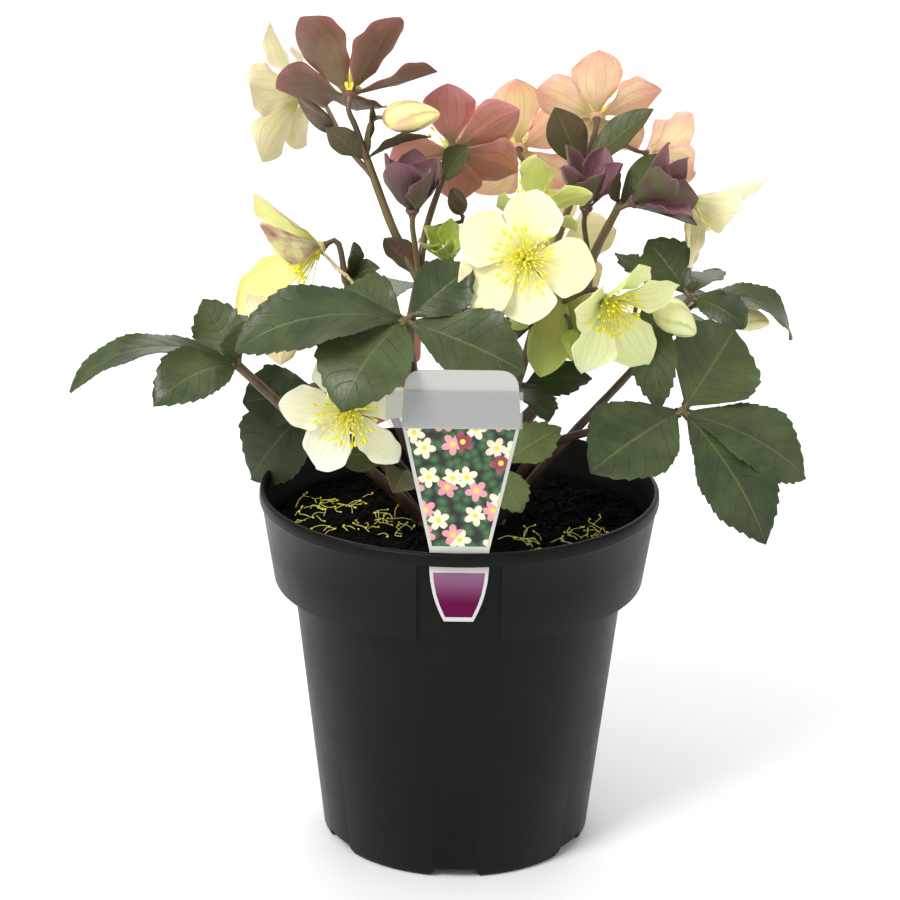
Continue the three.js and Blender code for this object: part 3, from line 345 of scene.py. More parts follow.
BLOOMS = {
    "front": bloom([27, -58, 301], -3, 12, 78, 33, 28, 80, 10, "cream", 12,
                   [[80, 80], [154, 80], [214, 80], [276, 80, 0.86], [352, 80, 1.04]]),
    "right": bloom([64, -48, 280], 36, -24, 20, 36, 24, 64, 14, "lime", 8,
                   [[20, 64], [94, 58], [166, 62, 0.85], [250, 64], [308, 62, 1.1]]),
    "nodding": bloom([44, -30, 285], 190, -66, 4, 42, 22, 42, 8, "green", 3,
                     [[4, 36, 0.9], [72, 42, 0.9], [144, 42, 0.9], [216, 42, 0.95], [288, 42, 1.1]]),
    "lime": bloom([31, -8, 310], 150, 42, 104, 34, 16, 60, 20, "lime", 3,
                  [[104, 58], [168, 62, 0.95], [232, 64, 0.8], [290, 64, 0.8], [345, 66, 0.7]]),
    "crown": bloom([-52, -10, 364], 178, 50, 46, 43, 29, 48, 8, "bronze", 4,
                   [[46, 46], [134, 46], [190, 66], [266, 74, 0.55], [338, 70, 0.95]]),
    "far_left": bloom([-77, 42, 354], -112, -6, 20, 37, 25, 66, 16, "cream", 5),
    "rose": bloom([-5, 14, 334], 176, 14, 84, 34, 25, 72, 10, "rose", 4,
                  [[84, 72, 0.95], [149, 72, 1.05], [205, 74], [268, 72, 0.95], [338, 72]]),
    "peach_back": bloom([27, 76, 322], 180, 12, 88, 35, 27, 70, 12, "peach", 4),
    "blush": bloom([63, 50, 343], 176, 26, 92, 33, 25, 68, 10, "peach", 4),
    "peach_side": bloom([90, 66, 322], 118, -16, 40, 28, 21, 58, 18, "peach", 4),
    "far_right": bloom([107, 26, 309], 78, -34, 84, 38, 23, 52, 12, "cream", 6,
                       [[84, 46], [150, 54], [216, 52], [282, 54], [350, 54]]),
    "plum_left": bloom([-23, -22, 314], 0, 84, 20, 29, 21, 42, -34, "plum", 0),
    "plum_mid": bloom([57, 8, 309], 20, 76, 50, 30, 19, 32, -4, "plum", 0),
    "plum_right": bloom([78, -9, 316], 72, 28, 30, 33, 20, 32, -6, "plum", 0),
    "left": bloom([-66, 2, 290], -72, -20, 0, 42, 28, 56, 6, "blush", 9,
                  [[48, 52], [110, 60], [168, 62, 0.9], [222, 34, 1.3], [308, 105, 0.85]]),
    "low_left": bloom([-50, -56, 230], -12, -14, 100, 34, 22, 72, 14, "white", 9),
    "small_green": bloom([-7, -18, 291], -20, 62, 10, 20, 14, 36, -8, "green", 0),
    "tucked": bloom([-82, -16, 259], -150, -30, 60, 21, 15, 60, 10, "cream", 4),
    "back_cream": bloom([46, 98, 266], 168, 8, 85, 34, 26, 74, 10, "cream", 6),
    "back_rose": bloom([-40, 98, 200], 196, -8, 70, 32, 24, 70, 12, "rose", 4),
}
print(len(BLOOMS), "blooms in the plan")

# %% The plan of the buds and leaves
# Buds: foot, tip, greatest radius.
BUDS = {
    "peach": [[-37, -12, 354], [-11, -18, 357], 7.5],
    "right": [[88, -30, 274], [106, -36, 261], 8],
    "far_right": [[124, 20, 256], [146, 20, 251], 6.5],
    "green": [[49, -40, 264], [50, -43, 250], 5],
    "dark": [[-1, -7, 309], [-5, -12, 322], 4.5],
    "side": [[-59.3, -13, 347.4], [-75, -14, 363.4], 4.2],
}

# Leaves: knuckle, colour, then leaflets of tip, width, bend and roll.
LEAVES = {
    "left": ([-104, -10, 236], "leaf", [
        [[-181, -18, 224], 24, 96, -14],
        [[-140, -44, 226], 30, 84, -30],
        [[-121, 4, 264], 24, -30, -50],
        [[-100, -26, 262], 22, 30, 40],
    ]),
    "front": ([-25, -68, 275], "leaf", [
        [[-99, -80, 263], 37, 76, -32],
        [[-52, -103, 243], 45, 66, -14],
        [[28, -82, 256], 37, 26, 46],
        [[4, -58, 298], 27, 20, 60],
        [[-52, -42, 283], 24, 20, -50],
    ]),
    "right": ([101, -40, 226], "leaf", [
        [[58, -74, 207], 43, 34, -36],
        [[126, -14, 258], 46, 22, 50],
        [[160, -34, 192], 38, 46, 40],
        [[139, -66, 171], 40, 50, 26],
    ]),
    "right_top": ([107, 6, 267], "leaf", [
        [[87, 22, 290], 26, 20, -40],
        [[131, -8, 256], 24, 60, 20],
        [[158, 30, 240], 22, 90, 30],
        [[116, 48, 268], 26, 40, 0],
    ]),
    "behind_left": ([-66, 22, 212], "shade", [
        [[-104, 20, 208], 32, 50, -50],
        [[-101, 26, 168], 42, 40, -60],
        [[-88, 54, 200], 28, 50, 0],
    ]),
    "low_middle": ([26, -30, 234], "shade", [
        [[60, -32, 238], 20, 40, 40],
        [[40, -58, 226], 18, 40, 0],
    ]),
    "back_left": ([-64, 70, 232], "leaf", [
        [[-120, 92, 222], 36, 66, 0],
        [[-70, 138, 214], 40, 62, 0],
        [[-104, 56, 248], 30, 50, 10],
        [[-20, 124, 240], 30, 50, 0],
    ]),
    "back_right": ([84, 84, 232], "leaf", [
        [[138, 100, 216], 36, 62, 0],
        [[84, 146, 206], 38, 60, 0],
        [[126, 66, 246], 32, 46, 0],
        [[52, 128, 206], 30, 50, 0],
    ]),
    "pale": ([18, -50, 202], "pale", [
        [[46, -46, 219], 20, 24, 50],
        [[28, -64, 184], 17, 30, 40],
    ]),
    "hanging": ([86, -22, 280], "leaf", [
        [[91, -38, 226], 22, 36, 14],
        [[70, -10, 292], 14, 20, 0],
    ]),
}
print(len(BUDS), "buds and", len(LEAVES), "leaves in the plan")

# %% The plan of the bracts and stems
# Bracts at the forks: foot, tip, width, bend and roll.
BRACTS = [
    [[-44, -12, 335], [-62, -20, 351], 13, -20, 70],
    [[-44, -12, 335], [-42, -14, 361], 10, 0, 80],
    [[-44, -12, 335], [-15, -20, 347], 14, 30, -20],
    [[-44, -12, 335], [-60, -6, 345], 17, 10, 60],
    [[-20, -11, 279], [-36, -16, 299], 16, 24, 50],
    [[-10, 0, 322], [2, -8, 341], 15, 10, 70],
    [[-10, 0, 322], [-26, 4, 318], 14, 50, 0],
    [[56, 28, 322], [42, 22, 353], 20, -10, 70],
    [[56, 28, 322], [88, 26, 352], 19, 14, 40],
    [[72, 2, 312], [70, -10, 330], 12, 10, 70],
    [[72, 2, 312], [95, 14, 333], 17, 20, 40],
    [[72, 2, 312], [107, -12, 306], 18, 16, 0],
    [[-54, 0, 274], [-50, -3, 294], 15, 16, 60],
    [[-54, 0, 274], [-38, -4, 282], 14, 40, 30],
    [[-31, -40, 203], [-57, -42, 203], 18, 30, -60],
    [[-26, -36, 195], [-30, -56, 190], 17, 40, -30],
]

# Stems: radius at the foot and at the end, the points between, and what the stem carries.
STEMS = [
    (3, 2.2, [[-9, -5, 156], [-18, -14, 215], [-24, -18, 252], [-20, -11, 279]], None),
    (2.2, 1.8, [[-20, -11, 279], [-31, -11, 300], [-44, -12, 335]], None),
    (1.5, 1.2, [[-44, -12, 335], [-49, -14, 350]], "bloom crown"),
    (1.1, 1, [[-44, -12, 335], [-44, -11, 346]], "bud peach"),
    (1.2, 1, [[-40.5, -12, 326]], "bud side"),
    (1.5, 1.2, [[-20, -11, 279], [-22, -18, 298]], "bloom plum_left"),
    (1.9, 1.2, [[-20, -11, 279], [-17, -3, 300], [-10, 0, 322]], "bloom rose"),
    (1, 1, [[-20, -11, 279], [-12, -12, 285]], "bloom small_green"),
    (1, 1, [[-17, -3, 300], [-8, -4, 303]], "bud dark"),
    (3, 1.9, [[12, -3, 156], [22, -8, 200], [57, 5, 240], [60, 11, 280], [72, 2, 312]], None),
    (1.5, 1.2, [[72, 2, 312]], "bloom plum_right"),
    (1.3, 1.2, [[60, 11, 280], [57, 10, 296]], "bloom plum_mid"),
    (1.2, 1, [[72, 2, 312], [90, 14, 313.4]], "bloom far_right"),
    (2.8, 1.9, [[4, -10, 156], [12, -16, 215], [24, -20, 254], [30, -22, 284]], None),
    (1.5, 1.2, [[30, -22, 284], [29, -36, 297]], "bloom front"),
    (1.3, 1.1, [[30, -22, 284], [38, -30, 295]], "bloom nodding"),
    (1.3, 1.1, [[30, -22, 284], [32, -18, 294]], "bloom lime"),
    (1.5, 1.2, [[24, -20, 254], [42, -32, 272]], "bloom right"),
    (1, 1, [[36, -27, 265], [43, -33, 270]], "bud green"),
    (2.5, 1.6, [[16, -9, 156], [36, -14, 196], [72, -26, 214]], "leaf right"),
    (3, 2.2, [[-15, -4, 156], [-42, -8, 184], [-73, -10, 207]], "leaf left"),
    (2.5, 1.6, [[-9, 4, 156], [-34, 2, 215], [-46, 0, 252], [-54, 0, 274]], None),
    (1.6, 1.3, [[-54, 0, 274]], "bloom left"),
    (1.2, 1, [[-46, 0, 252], [-60, -8, 260]], "bloom tucked"),
    (1.3, 1, [[-40.5, -12, 326], [-54, 14, 335]], "bloom far_left"),
    (2.8, 1.6, [[7, 9, 156], [30, 30, 226], [46, 32, 290], [56, 28, 322]], None),
    (1.5, 1.3, [[56, 28, 322]], "bloom blush"),
    (1.5, 1.2, [[46, 32, 290], [34, 56, 314]], "bloom peach_back"),
    (1.3, 1, [[56, 28, 322], [74, 46, 330]], "bloom peach_side"),
    (2.5, 1.6, [[18, 3, 156], [50, 4, 196], [84, 4, 236]], "leaf right_top"),
    (1.1, 1, [[96, 5, 252], [112, 14, 262]], "bud far_right"),
    (1.2, 1, [[84, 4, 236], [80, -16, 268]], "bud right"),
    (1, 1, [[80, -16, 268]], "leaf hanging"),
    (1.9, 1.2, [[-5, -13, 156], [-22, -32, 188], [-38, -46, 216]], "bloom low_left"),
    (2.2, 1.6, [[0, -15, 156], [-18, -42, 226]], "leaf front"),
    (1.8, 1.2, [[10, -14, 156], [16, -24, 198]], "leaf low_middle"),
    (1.5, 1.2, [[6, -16, 156], [14, -38, 178]], "leaf pale"),
    (1.8, 1.3, [[-17, 6, 156], [-42, 14, 186]], "leaf behind_left"),
    (2.2, 1.5, [[-8, 14, 156], [-26, 50, 196]], "leaf back_left"),
    (1.5, 1.1, [[-26, 50, 196], [-34, 73, 201.3]], "bloom back_rose"),
    (2.2, 1.5, [[10, 15, 156], [38, 54, 196]], "leaf back_right"),
    (2.1, 1.2, [[1, 16, 156], [16, 56, 226]], "bloom back_cream"),
]
print(len(BRACTS), "bracts and", len(STEMS), "stems in the plan")

# %% [markdown]
# ## A blade
# Sepals, leaflets and bracts are all blades: a spine that bends over its length, and a width that swells
# and narrows on both sides of it. A subdivided plane that is bent by modifiers could make one, but a grid
# that is worked out point by point lets the teeth, the veins' grooves and the waves sit exactly where the
# outline puts them. The grid becomes a thin closed shell: an upper face, an underside and a rim between
# them. numpy works on the whole grid at once, which keeps this quick.

# %% Grow a blade's grid and close it
OUTLINES = {
    "sepal": lambda s: np.maximum(0.13 * (1 - s), np.sin(np.pi * s ** 1.42) ** 0.8),
    "leaf": lambda s: np.maximum(0.1 * (1 - s), np.sin(np.pi * s ** 1.2) ** 0.9),
}
TIP_HALF_WIDTH = 0.15
TOOTH_SPACING = 4.6  # along the edge of a leaflet
RUFFLES = 3.4  # along the edge of a blade


def bent_at(bend, s):
    """How far a blade has bent at a share of its length: slowly at first, and then faster."""
    return math.radians(bend) * s ** 1.2


def tooth_count(length):
    return max(8, round(length / TOOTH_SPACING))


def grow_blade(base, along, up, length, width, bend, camber, phase, outline, foot, thickness, wave, waves,
               ruffle, rows, columns, crowd=1, teeth=0, relief=0, crease=0, uneven=0):
    """Points, quads, UVs and sides (0 upper, 1 under) of a thin closed blade, in millimetres.

    bend curves it along its length and camber across it, in degrees. foot is its half width at the base.
    wave and ruffle lift its edges, teeth cut them, and relief and crease press its veins in. uneven is a
    share of its width, crowd above 1 draws the rows to its tip, and phase sets two blades apart.
    """
    s = 1 - (1 - np.arange(rows + 1) / rows) ** crowd
    a = bent_at(bend, s)
    mid = bent_at(bend, (s[1:] + s[:-1]) / 2)
    steps = (length * np.diff(s))[:, None] * (np.cos(mid)[:, None] * along - np.sin(mid)[:, None] * up)
    centre = base + np.vstack([np.zeros(3), np.cumsum(steps, axis=0)])
    tangent = np.cos(a)[:, None] * along - np.sin(a)[:, None] * up
    normal = np.cos(a)[:, None] * up + np.sin(a)[:, None] * along
    side = np.cross(along, up)

    v = np.linspace(-1, 1, columns + 1)[None, :]
    half = np.maximum(width / 2 * OUTLINES[outline](np.clip(s, 0, 1)), foot * (1 - s) ** 3 + TIP_HALF_WIDTH)
    half = half[:, None] * (1 + uneven * np.sin(9 * s[:, None] + phase + 2.2 * np.sign(v))
                            + 0.6 * uneven * np.sin(23 * s[:, None] + 3 * phase - np.sign(v)))
    notch = np.zeros_like(half * v)
    if teeth:
        rise = (s[:, None] * tooth_count(length) + 0.5 * (v > 0)) % 1
        strength = np.clip(np.minimum(s - 0.14, 0.97 - s) * 12, 0, 1)[:, None]
        notch = teeth * (rise - 0.35) * strength * np.clip((np.abs(v) - 0.72) / 0.28, 0, 1)
    reach = np.abs(v) * half + notch
    turn = np.sign(v) * math.radians(camber) * np.abs(v)
    turning = np.where(np.abs(turn) < 1e-6, 1e-6, turn)
    across = reach * np.sin(turning) / turning * np.sign(v)
    lift = reach * (1 - np.cos(turning)) / np.abs(turning)
    lift = lift + wave * v * v * np.sin(2 * np.pi * waves * s[:, None] + phase + 1.3 * v)
    fade = np.clip(4 * s * (1 - s), 0, 1)[:, None]
    ripple = np.sin(2 * np.pi * RUFFLES * s[:, None] + 2 * phase + 2 * np.sign(v))
    lift = lift + ruffle * fade * v ** 4 * ripple
    lift = lift - crease * fade * np.exp(-(v / 0.1) ** 2)
    if relief:
        turns = (s[:, None] - VEIN_LEAN * np.abs(v) ** VEIN_BOW) * SIDE_VEINS
        to_vein = np.abs((turns + 0.5) % 1 - 0.5)
        groove = np.exp(-(to_vein / 0.13) ** 2) * (1.05 - np.abs(v))
        lift = lift + relief * fade * (0.5 - groove - np.exp(-(v / 0.07) ** 2))

    at = (centre[:, None, :] + across[..., None] * side + lift[..., None] * normal[:, None, :]
          + (0.7 * notch)[..., None] * tangent[:, None, :])
    face = np.cos(turn)[..., None] * normal[:, None, :] - np.sin(turn)[..., None] * side
    upper = (at + face * thickness / 2).reshape(-1, 3)
    under = (at - face * thickness / 2).reshape(-1, 3)
    return close_blade(upper, under, rows, columns, v, s)


def close_blade(upper, under, rows, columns, v, s):
    """Joins the upper face and the underside with a rim, and gives them their UVs and sides."""
    across, count = columns + 1, len(upper)
    corner = np.arange(rows * across).reshape(rows, across)[:, :columns].ravel()
    top = np.stack([corner, corner + 1, corner + 1 + across, corner + across], axis=1)
    ring = [i * across for i in range(rows)] + [rows * across + k for k in range(columns)]
    ring += [i * across + columns for i in range(rows, 0, -1)] + list(range(columns, 0, -1))
    ring = np.array(ring)
    after = np.roll(ring, -1)
    rim = np.stack([ring, after, after + count, ring + count], axis=1)
    quads = np.vstack([top, top[:, ::-1] + count, rim])
    sides = np.concatenate([np.zeros(len(top)), np.ones(len(top) + len(rim))]).astype(int)
    uv = np.stack([np.broadcast_to((v + 1) / 2, (rows + 1, across)),
                   np.broadcast_to(s[:, None], (rows + 1, across))], axis=-1).reshape(-1, 2)
    return np.vstack([upper, under]), quads, np.vstack([uv, uv]), sides


def aim_blade(base, tip, roll, bend):
    """Where a blade that bends must set out, so that it arches from base to tip."""
    a = bent_at(bend, (np.arange(24) + 0.5) / 24)
    forward, down = np.cos(a).mean(), np.sin(a).mean()
    chord = tip - base
    run = chord / np.linalg.norm(chord)
    hint = np.array([0, -1, 0]) if abs(run[2]) > 0.9 else np.array([0, 0, 1])
    up = hint - hint.dot(run) * run
    up = up / np.linalg.norm(up)
    up = math.cos(math.radians(roll)) * up + math.sin(math.radians(roll)) * np.cross(run, up)
    lead = math.atan2(down, forward)
    return {"base": base, "along": math.cos(lead) * run + math.sin(lead) * up,
            "up": math.cos(lead) * up - math.sin(lead) * run,
            "length": np.linalg.norm(chord) / math.hypot(forward, down), "bend": bend}


# %% [markdown]
# ## Tubes along smooth curves
# Stems, styles and nectaries are round and taper. Each follows a Catmull-Rom curve, which passes through
# the very points that the plan names, and carries rings of points whose direction is passed on from ring
# to ring, so that the tube doesn't twist. Turned shapes, such as the buds and the pot, are rings of points
# too, so they share the two helpers that spread points round a ring and set faces between rings.

# %% Helpers for rings
AWRY = [0.31, 0.52, 0.8]  # a direction that nothing in the plan has, to turn away from


def full_turn(sides):
    """Angles that go once round, with the last one a step before the first."""
    return np.linspace(0, 2 * np.pi, sides, endpoint=False)


def two_across(axis):
    """Two unit vectors at right angles to a unit axis and to each other."""
    arm = np.cross(axis, AWRY)
    arm = arm / np.linalg.norm(arm)
    return arm, np.cross(axis, arm)


def ring_faces(rings, sides):
    """Quads between rings of points that follow each other, and then a face over each end."""
    grid = np.arange(rings * sides).reshape(rings, sides)
    low, high = grid[:-1], grid[1:]
    quads = np.stack([low, np.roll(low, -1, 1), np.roll(high, -1, 1), high], axis=-1).reshape(-1, 4)
    return quads.tolist() + [list(grid[0][::-1]), list(grid[-1])]


# %% Sample a curve and grow a tube
def through(points, count):
    """count + 1 points spread evenly along a centripetal Catmull-Rom curve through the given points."""
    p = [np.array(q, float) for q in points]
    p = [2 * p[0] - p[1]] + p + [2 * p[-1] - p[-2]]
    fine = []
    for p0, p1, p2, p3 in zip(p, p[1:], p[2:], p[3:]):
        d0, d1, d2 = [max(np.linalg.norm(b - a), 1e-4) ** 0.5 for a, b in ((p0, p1), (p1, p2), (p2, p3))]
        m1 = ((p1 - p0) / d0 - (p2 - p0) / (d0 + d1) + (p2 - p1) / d1) * d1
        m2 = ((p2 - p1) / d1 - (p3 - p1) / (d1 + d2) + (p3 - p2) / d2) * d1
        for t in np.linspace(0, 1, 20, endpoint=False):
            fine.append(p1 + m1 * t + (3 * (p2 - p1) - 2 * m1 - m2) * t ** 2
                        + (2 * (p1 - p2) + m1 + m2) * t ** 3)
    fine = np.array(fine + [p[-2]])
    reach = np.concatenate([[0], np.cumsum(np.linalg.norm(np.diff(fine, axis=0), axis=1))])
    wanted = np.linspace(0, reach[-1], count + 1)
    return np.stack([np.interp(wanted, reach, fine[:, k]) for k in range(3)], axis=1)


def grow_tube(points, radii, sides):
    """Points and faces of a closed tube. radii has one value for each point."""
    tangents = np.gradient(points, axis=0)
    tangents = tangents / np.linalg.norm(tangents, axis=1)[:, None]
    arm = np.cross(tangents[0], AWRY)
    turns = full_turn(sides)
    rings = []
    for at, tangent, radius in zip(points, tangents, radii):
        arm = arm - arm.dot(tangent) * tangent
        arm = arm / np.linalg.norm(arm)
        other = np.cross(tangent, arm)
        rings.append(at + radius * (np.cos(turns)[:, None] * arm + np.sin(turns)[:, None] * other))
    return np.vstack(rings), ring_faces(len(points), sides)


# %% [markdown]
# ## A piece that is built up from parts
# Each piece of the plant is one object with many blades and tubes in it. A small class collects their
# points and faces, remembers each face's material and each point's UV and tint, and writes one mesh at
# the end. Tint is a number from 0 to 1 that a material uses for what differs from part to part, such as
# how old a sepal is.

# %% Collect parts in a piece
def shade_smooth(mesh, smooth_angle):
    mesh.polygons.foreach_set("use_smooth", np.ones(len(mesh.polygons), dtype=bool))
    mesh.set_sharp_from_angle(angle=math.radians(smooth_angle))


class Piece:
    """Parts of one mesh, whose points and faces are collected until it is finished."""

    def __init__(self, name, materials):
        self.name, self.materials = name, materials
        self.points, self.uvs, self.tints, self.faces, self.finishes = [], [], [], [], []
        self.count = 0

    def put(self, points, faces, finishes, uv=None, tint=0.0):
        """Adds points in millimetres with their faces. finishes is one index or one for each face."""
        self.points.append(points)
        self.uvs.append(np.zeros((len(points), 2)) if uv is None else uv)
        self.tints.append(np.broadcast_to(tint, len(points)))
        self.faces += [[i + self.count for i in face] for face in faces]
        self.finishes += list(np.broadcast_to(finishes, len(faces)))
        self.count += len(points)

    def put_blade(self, blade, finish=0, tint=0.0):
        points, quads, uv, sides = blade
        self.put(points, quads.tolist(), sides + finish, uv, tint)

    def put_tube(self, points, radii, sides, finish=0, tint=0.0):
        radii = np.broadcast_to(radii, len(points))
        if np.ndim(tint):
            tint = np.repeat(tint, sides)
        self.put(*grow_tube(points, radii, sides), finish, None, tint)

    def put_turned(self, base, axis, profile, sides, finish=0, tint=0.0):
        """A round body: profile holds [radius, height] along an axis, and starts and ends near it."""
        profile = np.array(profile, float)
        points = np.array(base) + profile[:, 1:] * np.array(axis)
        arm, other = two_across(axis)
        turns = full_turn(sides)
        round_it = np.cos(turns)[:, None] * arm + np.sin(turns)[:, None] * other
        rings = points[:, None, :] + profile[:, 0][:, None, None] * round_it[None]
        self.put(rings.reshape(-1, 3), ring_faces(len(profile), sides), finish, None, tint)

    def finish(self, smooth_angle=50):
        """Writes the mesh and returns its object. Edges sharper than the angle stay sharp."""
        mesh = bpy.data.meshes.new(self.name)
        points = np.vstack(self.points) * MM
        mesh.from_pydata(points.tolist(), [], self.faces)
        corners = np.zeros(len(mesh.loops), dtype=np.int32)
        mesh.loops.foreach_get("vertex_index", corners)
        layer = mesh.uv_layers.new(name="blade")
        layer.data.foreach_set("uv", np.vstack(self.uvs)[corners].ravel().astype(np.float32))
        tints = mesh.attributes.new("tint", "FLOAT", "POINT")
        tints.data.foreach_set("value", np.concatenate(self.tints).astype(np.float32))
        for material in self.materials:
            mesh.materials.append(material)
        mesh.polygons.foreach_set("material_index", np.array(self.finishes, dtype=np.int32))
        shade_smooth(mesh, smooth_angle)
        return put_in_scene(self.name, mesh)


def stand_for(made, *nodes):
    """Lets a finer piece ride with the part and stand for its nodes."""
    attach(made, "root")
    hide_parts(*nodes)


# %% [markdown]
# ## The blooms
# A bloom is five sepals round a small disc. No two are alike: each one's length, width, place and bend
# differ a little, from a repeatable stream of numbers that starts again for each bloom. That keeps every
# run the same. The wide part of each sepal lies over its neighbour's edge, because each is turned a
# little about its own length.

# %% Make the blooms
SEPALS = 5
SEPAL_TILT = 9  # degrees that a sepal is turned about its own length
HALF_SHUT = 58  # below this cup the sepals stand close, and are turned further
DISC_RADIUS = 3.2
DISC = [[0.01, -2.4], [1.6, -2.3], [2.6, -1.6], [3.3, -0.6], [3.1, 0.3], [2.2, 0.8], [0.01, 0.9]]
CLAW = 1.4  # how far a sepal reaches in under the disc's edge
# How far each sepal strays from its bloom's plan, in degrees or as a share of its size.
STRAY_TURN, STRAY_CUP, STRAY_BEND, STRAY_WIDTH, STRAY_LENGTH = 4, 4, 7, 0.07, 0.06
SEPAL_FORM = {"outline": "sepal", "foot": 1.6, "thickness": 0.45, "wave": 0.9, "waves": 1.4, "ruffle": 0.7,
              "crease": 0.5, "uneven": 0.045, "rows": 30, "columns": 16, "crowd": 1.35}
# How far each sepal has turned to its old colour, in the blooms where this shows.
OLD_SEPALS = {
    "left": [1, 0.3, 0.1, 0, 0.3],
    "rose": [0, 0.3, 0.9, 1, 0.6],
    "plum_left": [0.9, 0.2, 0.8, 0.1, 0.6],
    "plum_mid": [0.2, 0.9, 0.3, 0.7, 0.1],
    "plum_right": [0.5, 0.1, 1, 0.3, 0.9],
}


def random_from(seed):
    """A repeatable stream of numbers from -1 to 1."""
    state = seed
    while True:
        state = (state * 1664525 + 1013904223) % 2 ** 32
        yield state / 2147483648 - 1


def bloom_axes(yaw, pitch):
    """Unit vectors that face out of the bloom, up across it and to its right."""
    a, p = math.radians(yaw), math.radians(pitch)
    out = np.array([math.cos(p) * math.sin(a), -math.cos(p) * math.cos(a), math.sin(p)])
    up = np.array([0, 0, 1.0]) - out[2] * out
    up = up / np.linalg.norm(up)
    return out, up, np.cross(up, out)


def make_sepals(name, b, seed):
    """A bloom's sepals and disc, from its row b in the plan."""
    out, up, right = bloom_axes(b["yaw"], b["pitch"])
    heart = np.array(b["heart"], float)
    draw = random_from(seed)
    tilt = math.radians(SEPAL_TILT + 0.4 * max(0, HALF_SHUT - b["cup"]))
    piece = Piece(f"sepals_{name}", sepal_faces[b["colour"]])
    ages = OLD_SEPALS.get(name, [0.3 + 0.3 * math.sin(2 * k + seed) for k in range(SEPALS)])
    for k in range(SEPALS):
        even = [b["turn"] + 360 / SEPALS * k + STRAY_TURN * next(draw), b["cup"] + STRAY_CUP * next(draw)]
        turn, cup, share = ((b["sepals"][k] if b["sepals"] else even) + [1])[:3]
        a, opening = math.radians(turn), math.radians(cup)
        arm = math.cos(a) * right + math.sin(a) * up
        along = math.cos(opening) * out + math.sin(opening) * arm
        face = math.sin(opening) * out - math.cos(opening) * arm
        face = math.cos(tilt) * face + math.sin(tilt) * np.cross(along, face)
        width = b["width"] * (1 + STRAY_WIDTH * next(draw))
        # A sepal of a half-shut bloom wraps round its axis, so it is cupped more.
        wrap = math.degrees(width / 2 / (0.6 * b["length"] * math.tan(min(opening, math.radians(85)))))
        length = share * b["length"] * (1 + STRAY_LENGTH * next(draw)) - DISC_RADIUS
        bend = b["curl"] + STRAY_BEND * next(draw)
        blade = grow_blade(heart + (DISC_RADIUS - CLAW) * arm, along, face, length + CLAW, width, bend,
                           camber=min(12 + wrap, 62), phase=3 * next(draw), **SEPAL_FORM)
        piece.put_blade(blade, tint=ages[k])
    piece.put_turned(heart, out, DISC, 14, finish=1)
    made = piece.finish()
    stand_for(made, f"bloom_{name}")
    return made


bloom_seeds = {name: i + 11 for i, name in enumerate(BLOOMS)}
sepal_pieces = {name: make_sepals(name, b, bloom_seeds[name]) for name, b in BLOOMS.items()}
print("blooms:", len(sepal_pieces), "with", len(sepal_pieces["front"].data.polygons), "faces in one")

# %% [markdown]
# ## Stamens with Geometry Nodes
# A hellebore's heart is a brush of forty to eighty stamens. They repeat, so Geometry Nodes make them: the
# tree sets out points in the order in which plants do, each turned by the golden angle from the last,
# and puts a curved thread with a head of pollen on each. The outer stamens lean out furthest. The tree
# ends by realizing its instances, because only real geometry leaves Blender with the part.

# %% Build the stamens' tree
GOLDEN_ANGLE = 2.39996


def new_growth_tree(name, sockets):
    """A Geometry Nodes tree with one mesh output and these inputs, and the inputs to link from."""
    made = bpy.data.node_groups.new(name, "GeometryNodeTree")
    made.interface.new_socket("Geometry", in_out="OUTPUT", socket_type="NodeSocketGeometry")
    for label, kind in sockets.items():
        made.interface.new_socket(label, in_out="INPUT", socket_type=f"NodeSocket{kind}")
    return made, add(made, "NodeGroupInput").outputs


stamen_tree, given = new_growth_tree("stamen brush", {
    "Count": "Int", "Length": "Float", "Spread": "Float", "Thread Radius": "Float",
    "Head Radius": "Float", "Seed": "Int"})
number = add(stamen_tree, "GeometryNodeInputIndex")
middle = add(stamen_tree, "ShaderNodeMath", [number, 0.5], operation="ADD")
part_of = add(stamen_tree, "ShaderNodeMath", [middle, given["Count"]], operation="DIVIDE")
share = add(stamen_tree, "ShaderNodeMath", [part_of, 0.8], operation="POWER")
around = add(stamen_tree, "ShaderNodeMath", [number, GOLDEN_ANGLE], operation="MULTIPLY")
stray = add(stamen_tree, "FunctionNodeRandomValue", {2: -0.12, 3: 0.12, "Seed": given["Seed"]},
            data_type="FLOAT")
lean = add(stamen_tree, "ShaderNodeMath", [share, given["Spread"], stray], operation="MULTIPLY_ADD")
aside = add(stamen_tree, "ShaderNodeCombineXYZ", [
    add(stamen_tree, "ShaderNodeMath", [around], operation="COSINE"),
    add(stamen_tree, "ShaderNodeMath", [around], operation="SINE")])
sine = add(stamen_tree, "ShaderNodeMath", [lean], operation="SINE")
outward = add(stamen_tree, "ShaderNodeVectorMath", {0: aside, "Scale": sine}, operation="SCALE")
cosine = add(stamen_tree, "ShaderNodeMath", [lean], operation="COSINE")
upward = add(stamen_tree, "ShaderNodeCombineXYZ", {2: cosine})
direction = add(stamen_tree, "ShaderNodeVectorMath", [outward, upward], operation="ADD")
foot_radius = add(stamen_tree, "ShaderNodeMath", [share, 1.4 * MM, 1.2 * MM], operation="MULTIPLY_ADD")
feet = add(stamen_tree, "ShaderNodeVectorMath", {0: aside, "Scale": foot_radius}, operation="SCALE")
spots = add(stamen_tree, "GeometryNodePoints", {"Count": given["Count"], "Position": feet})

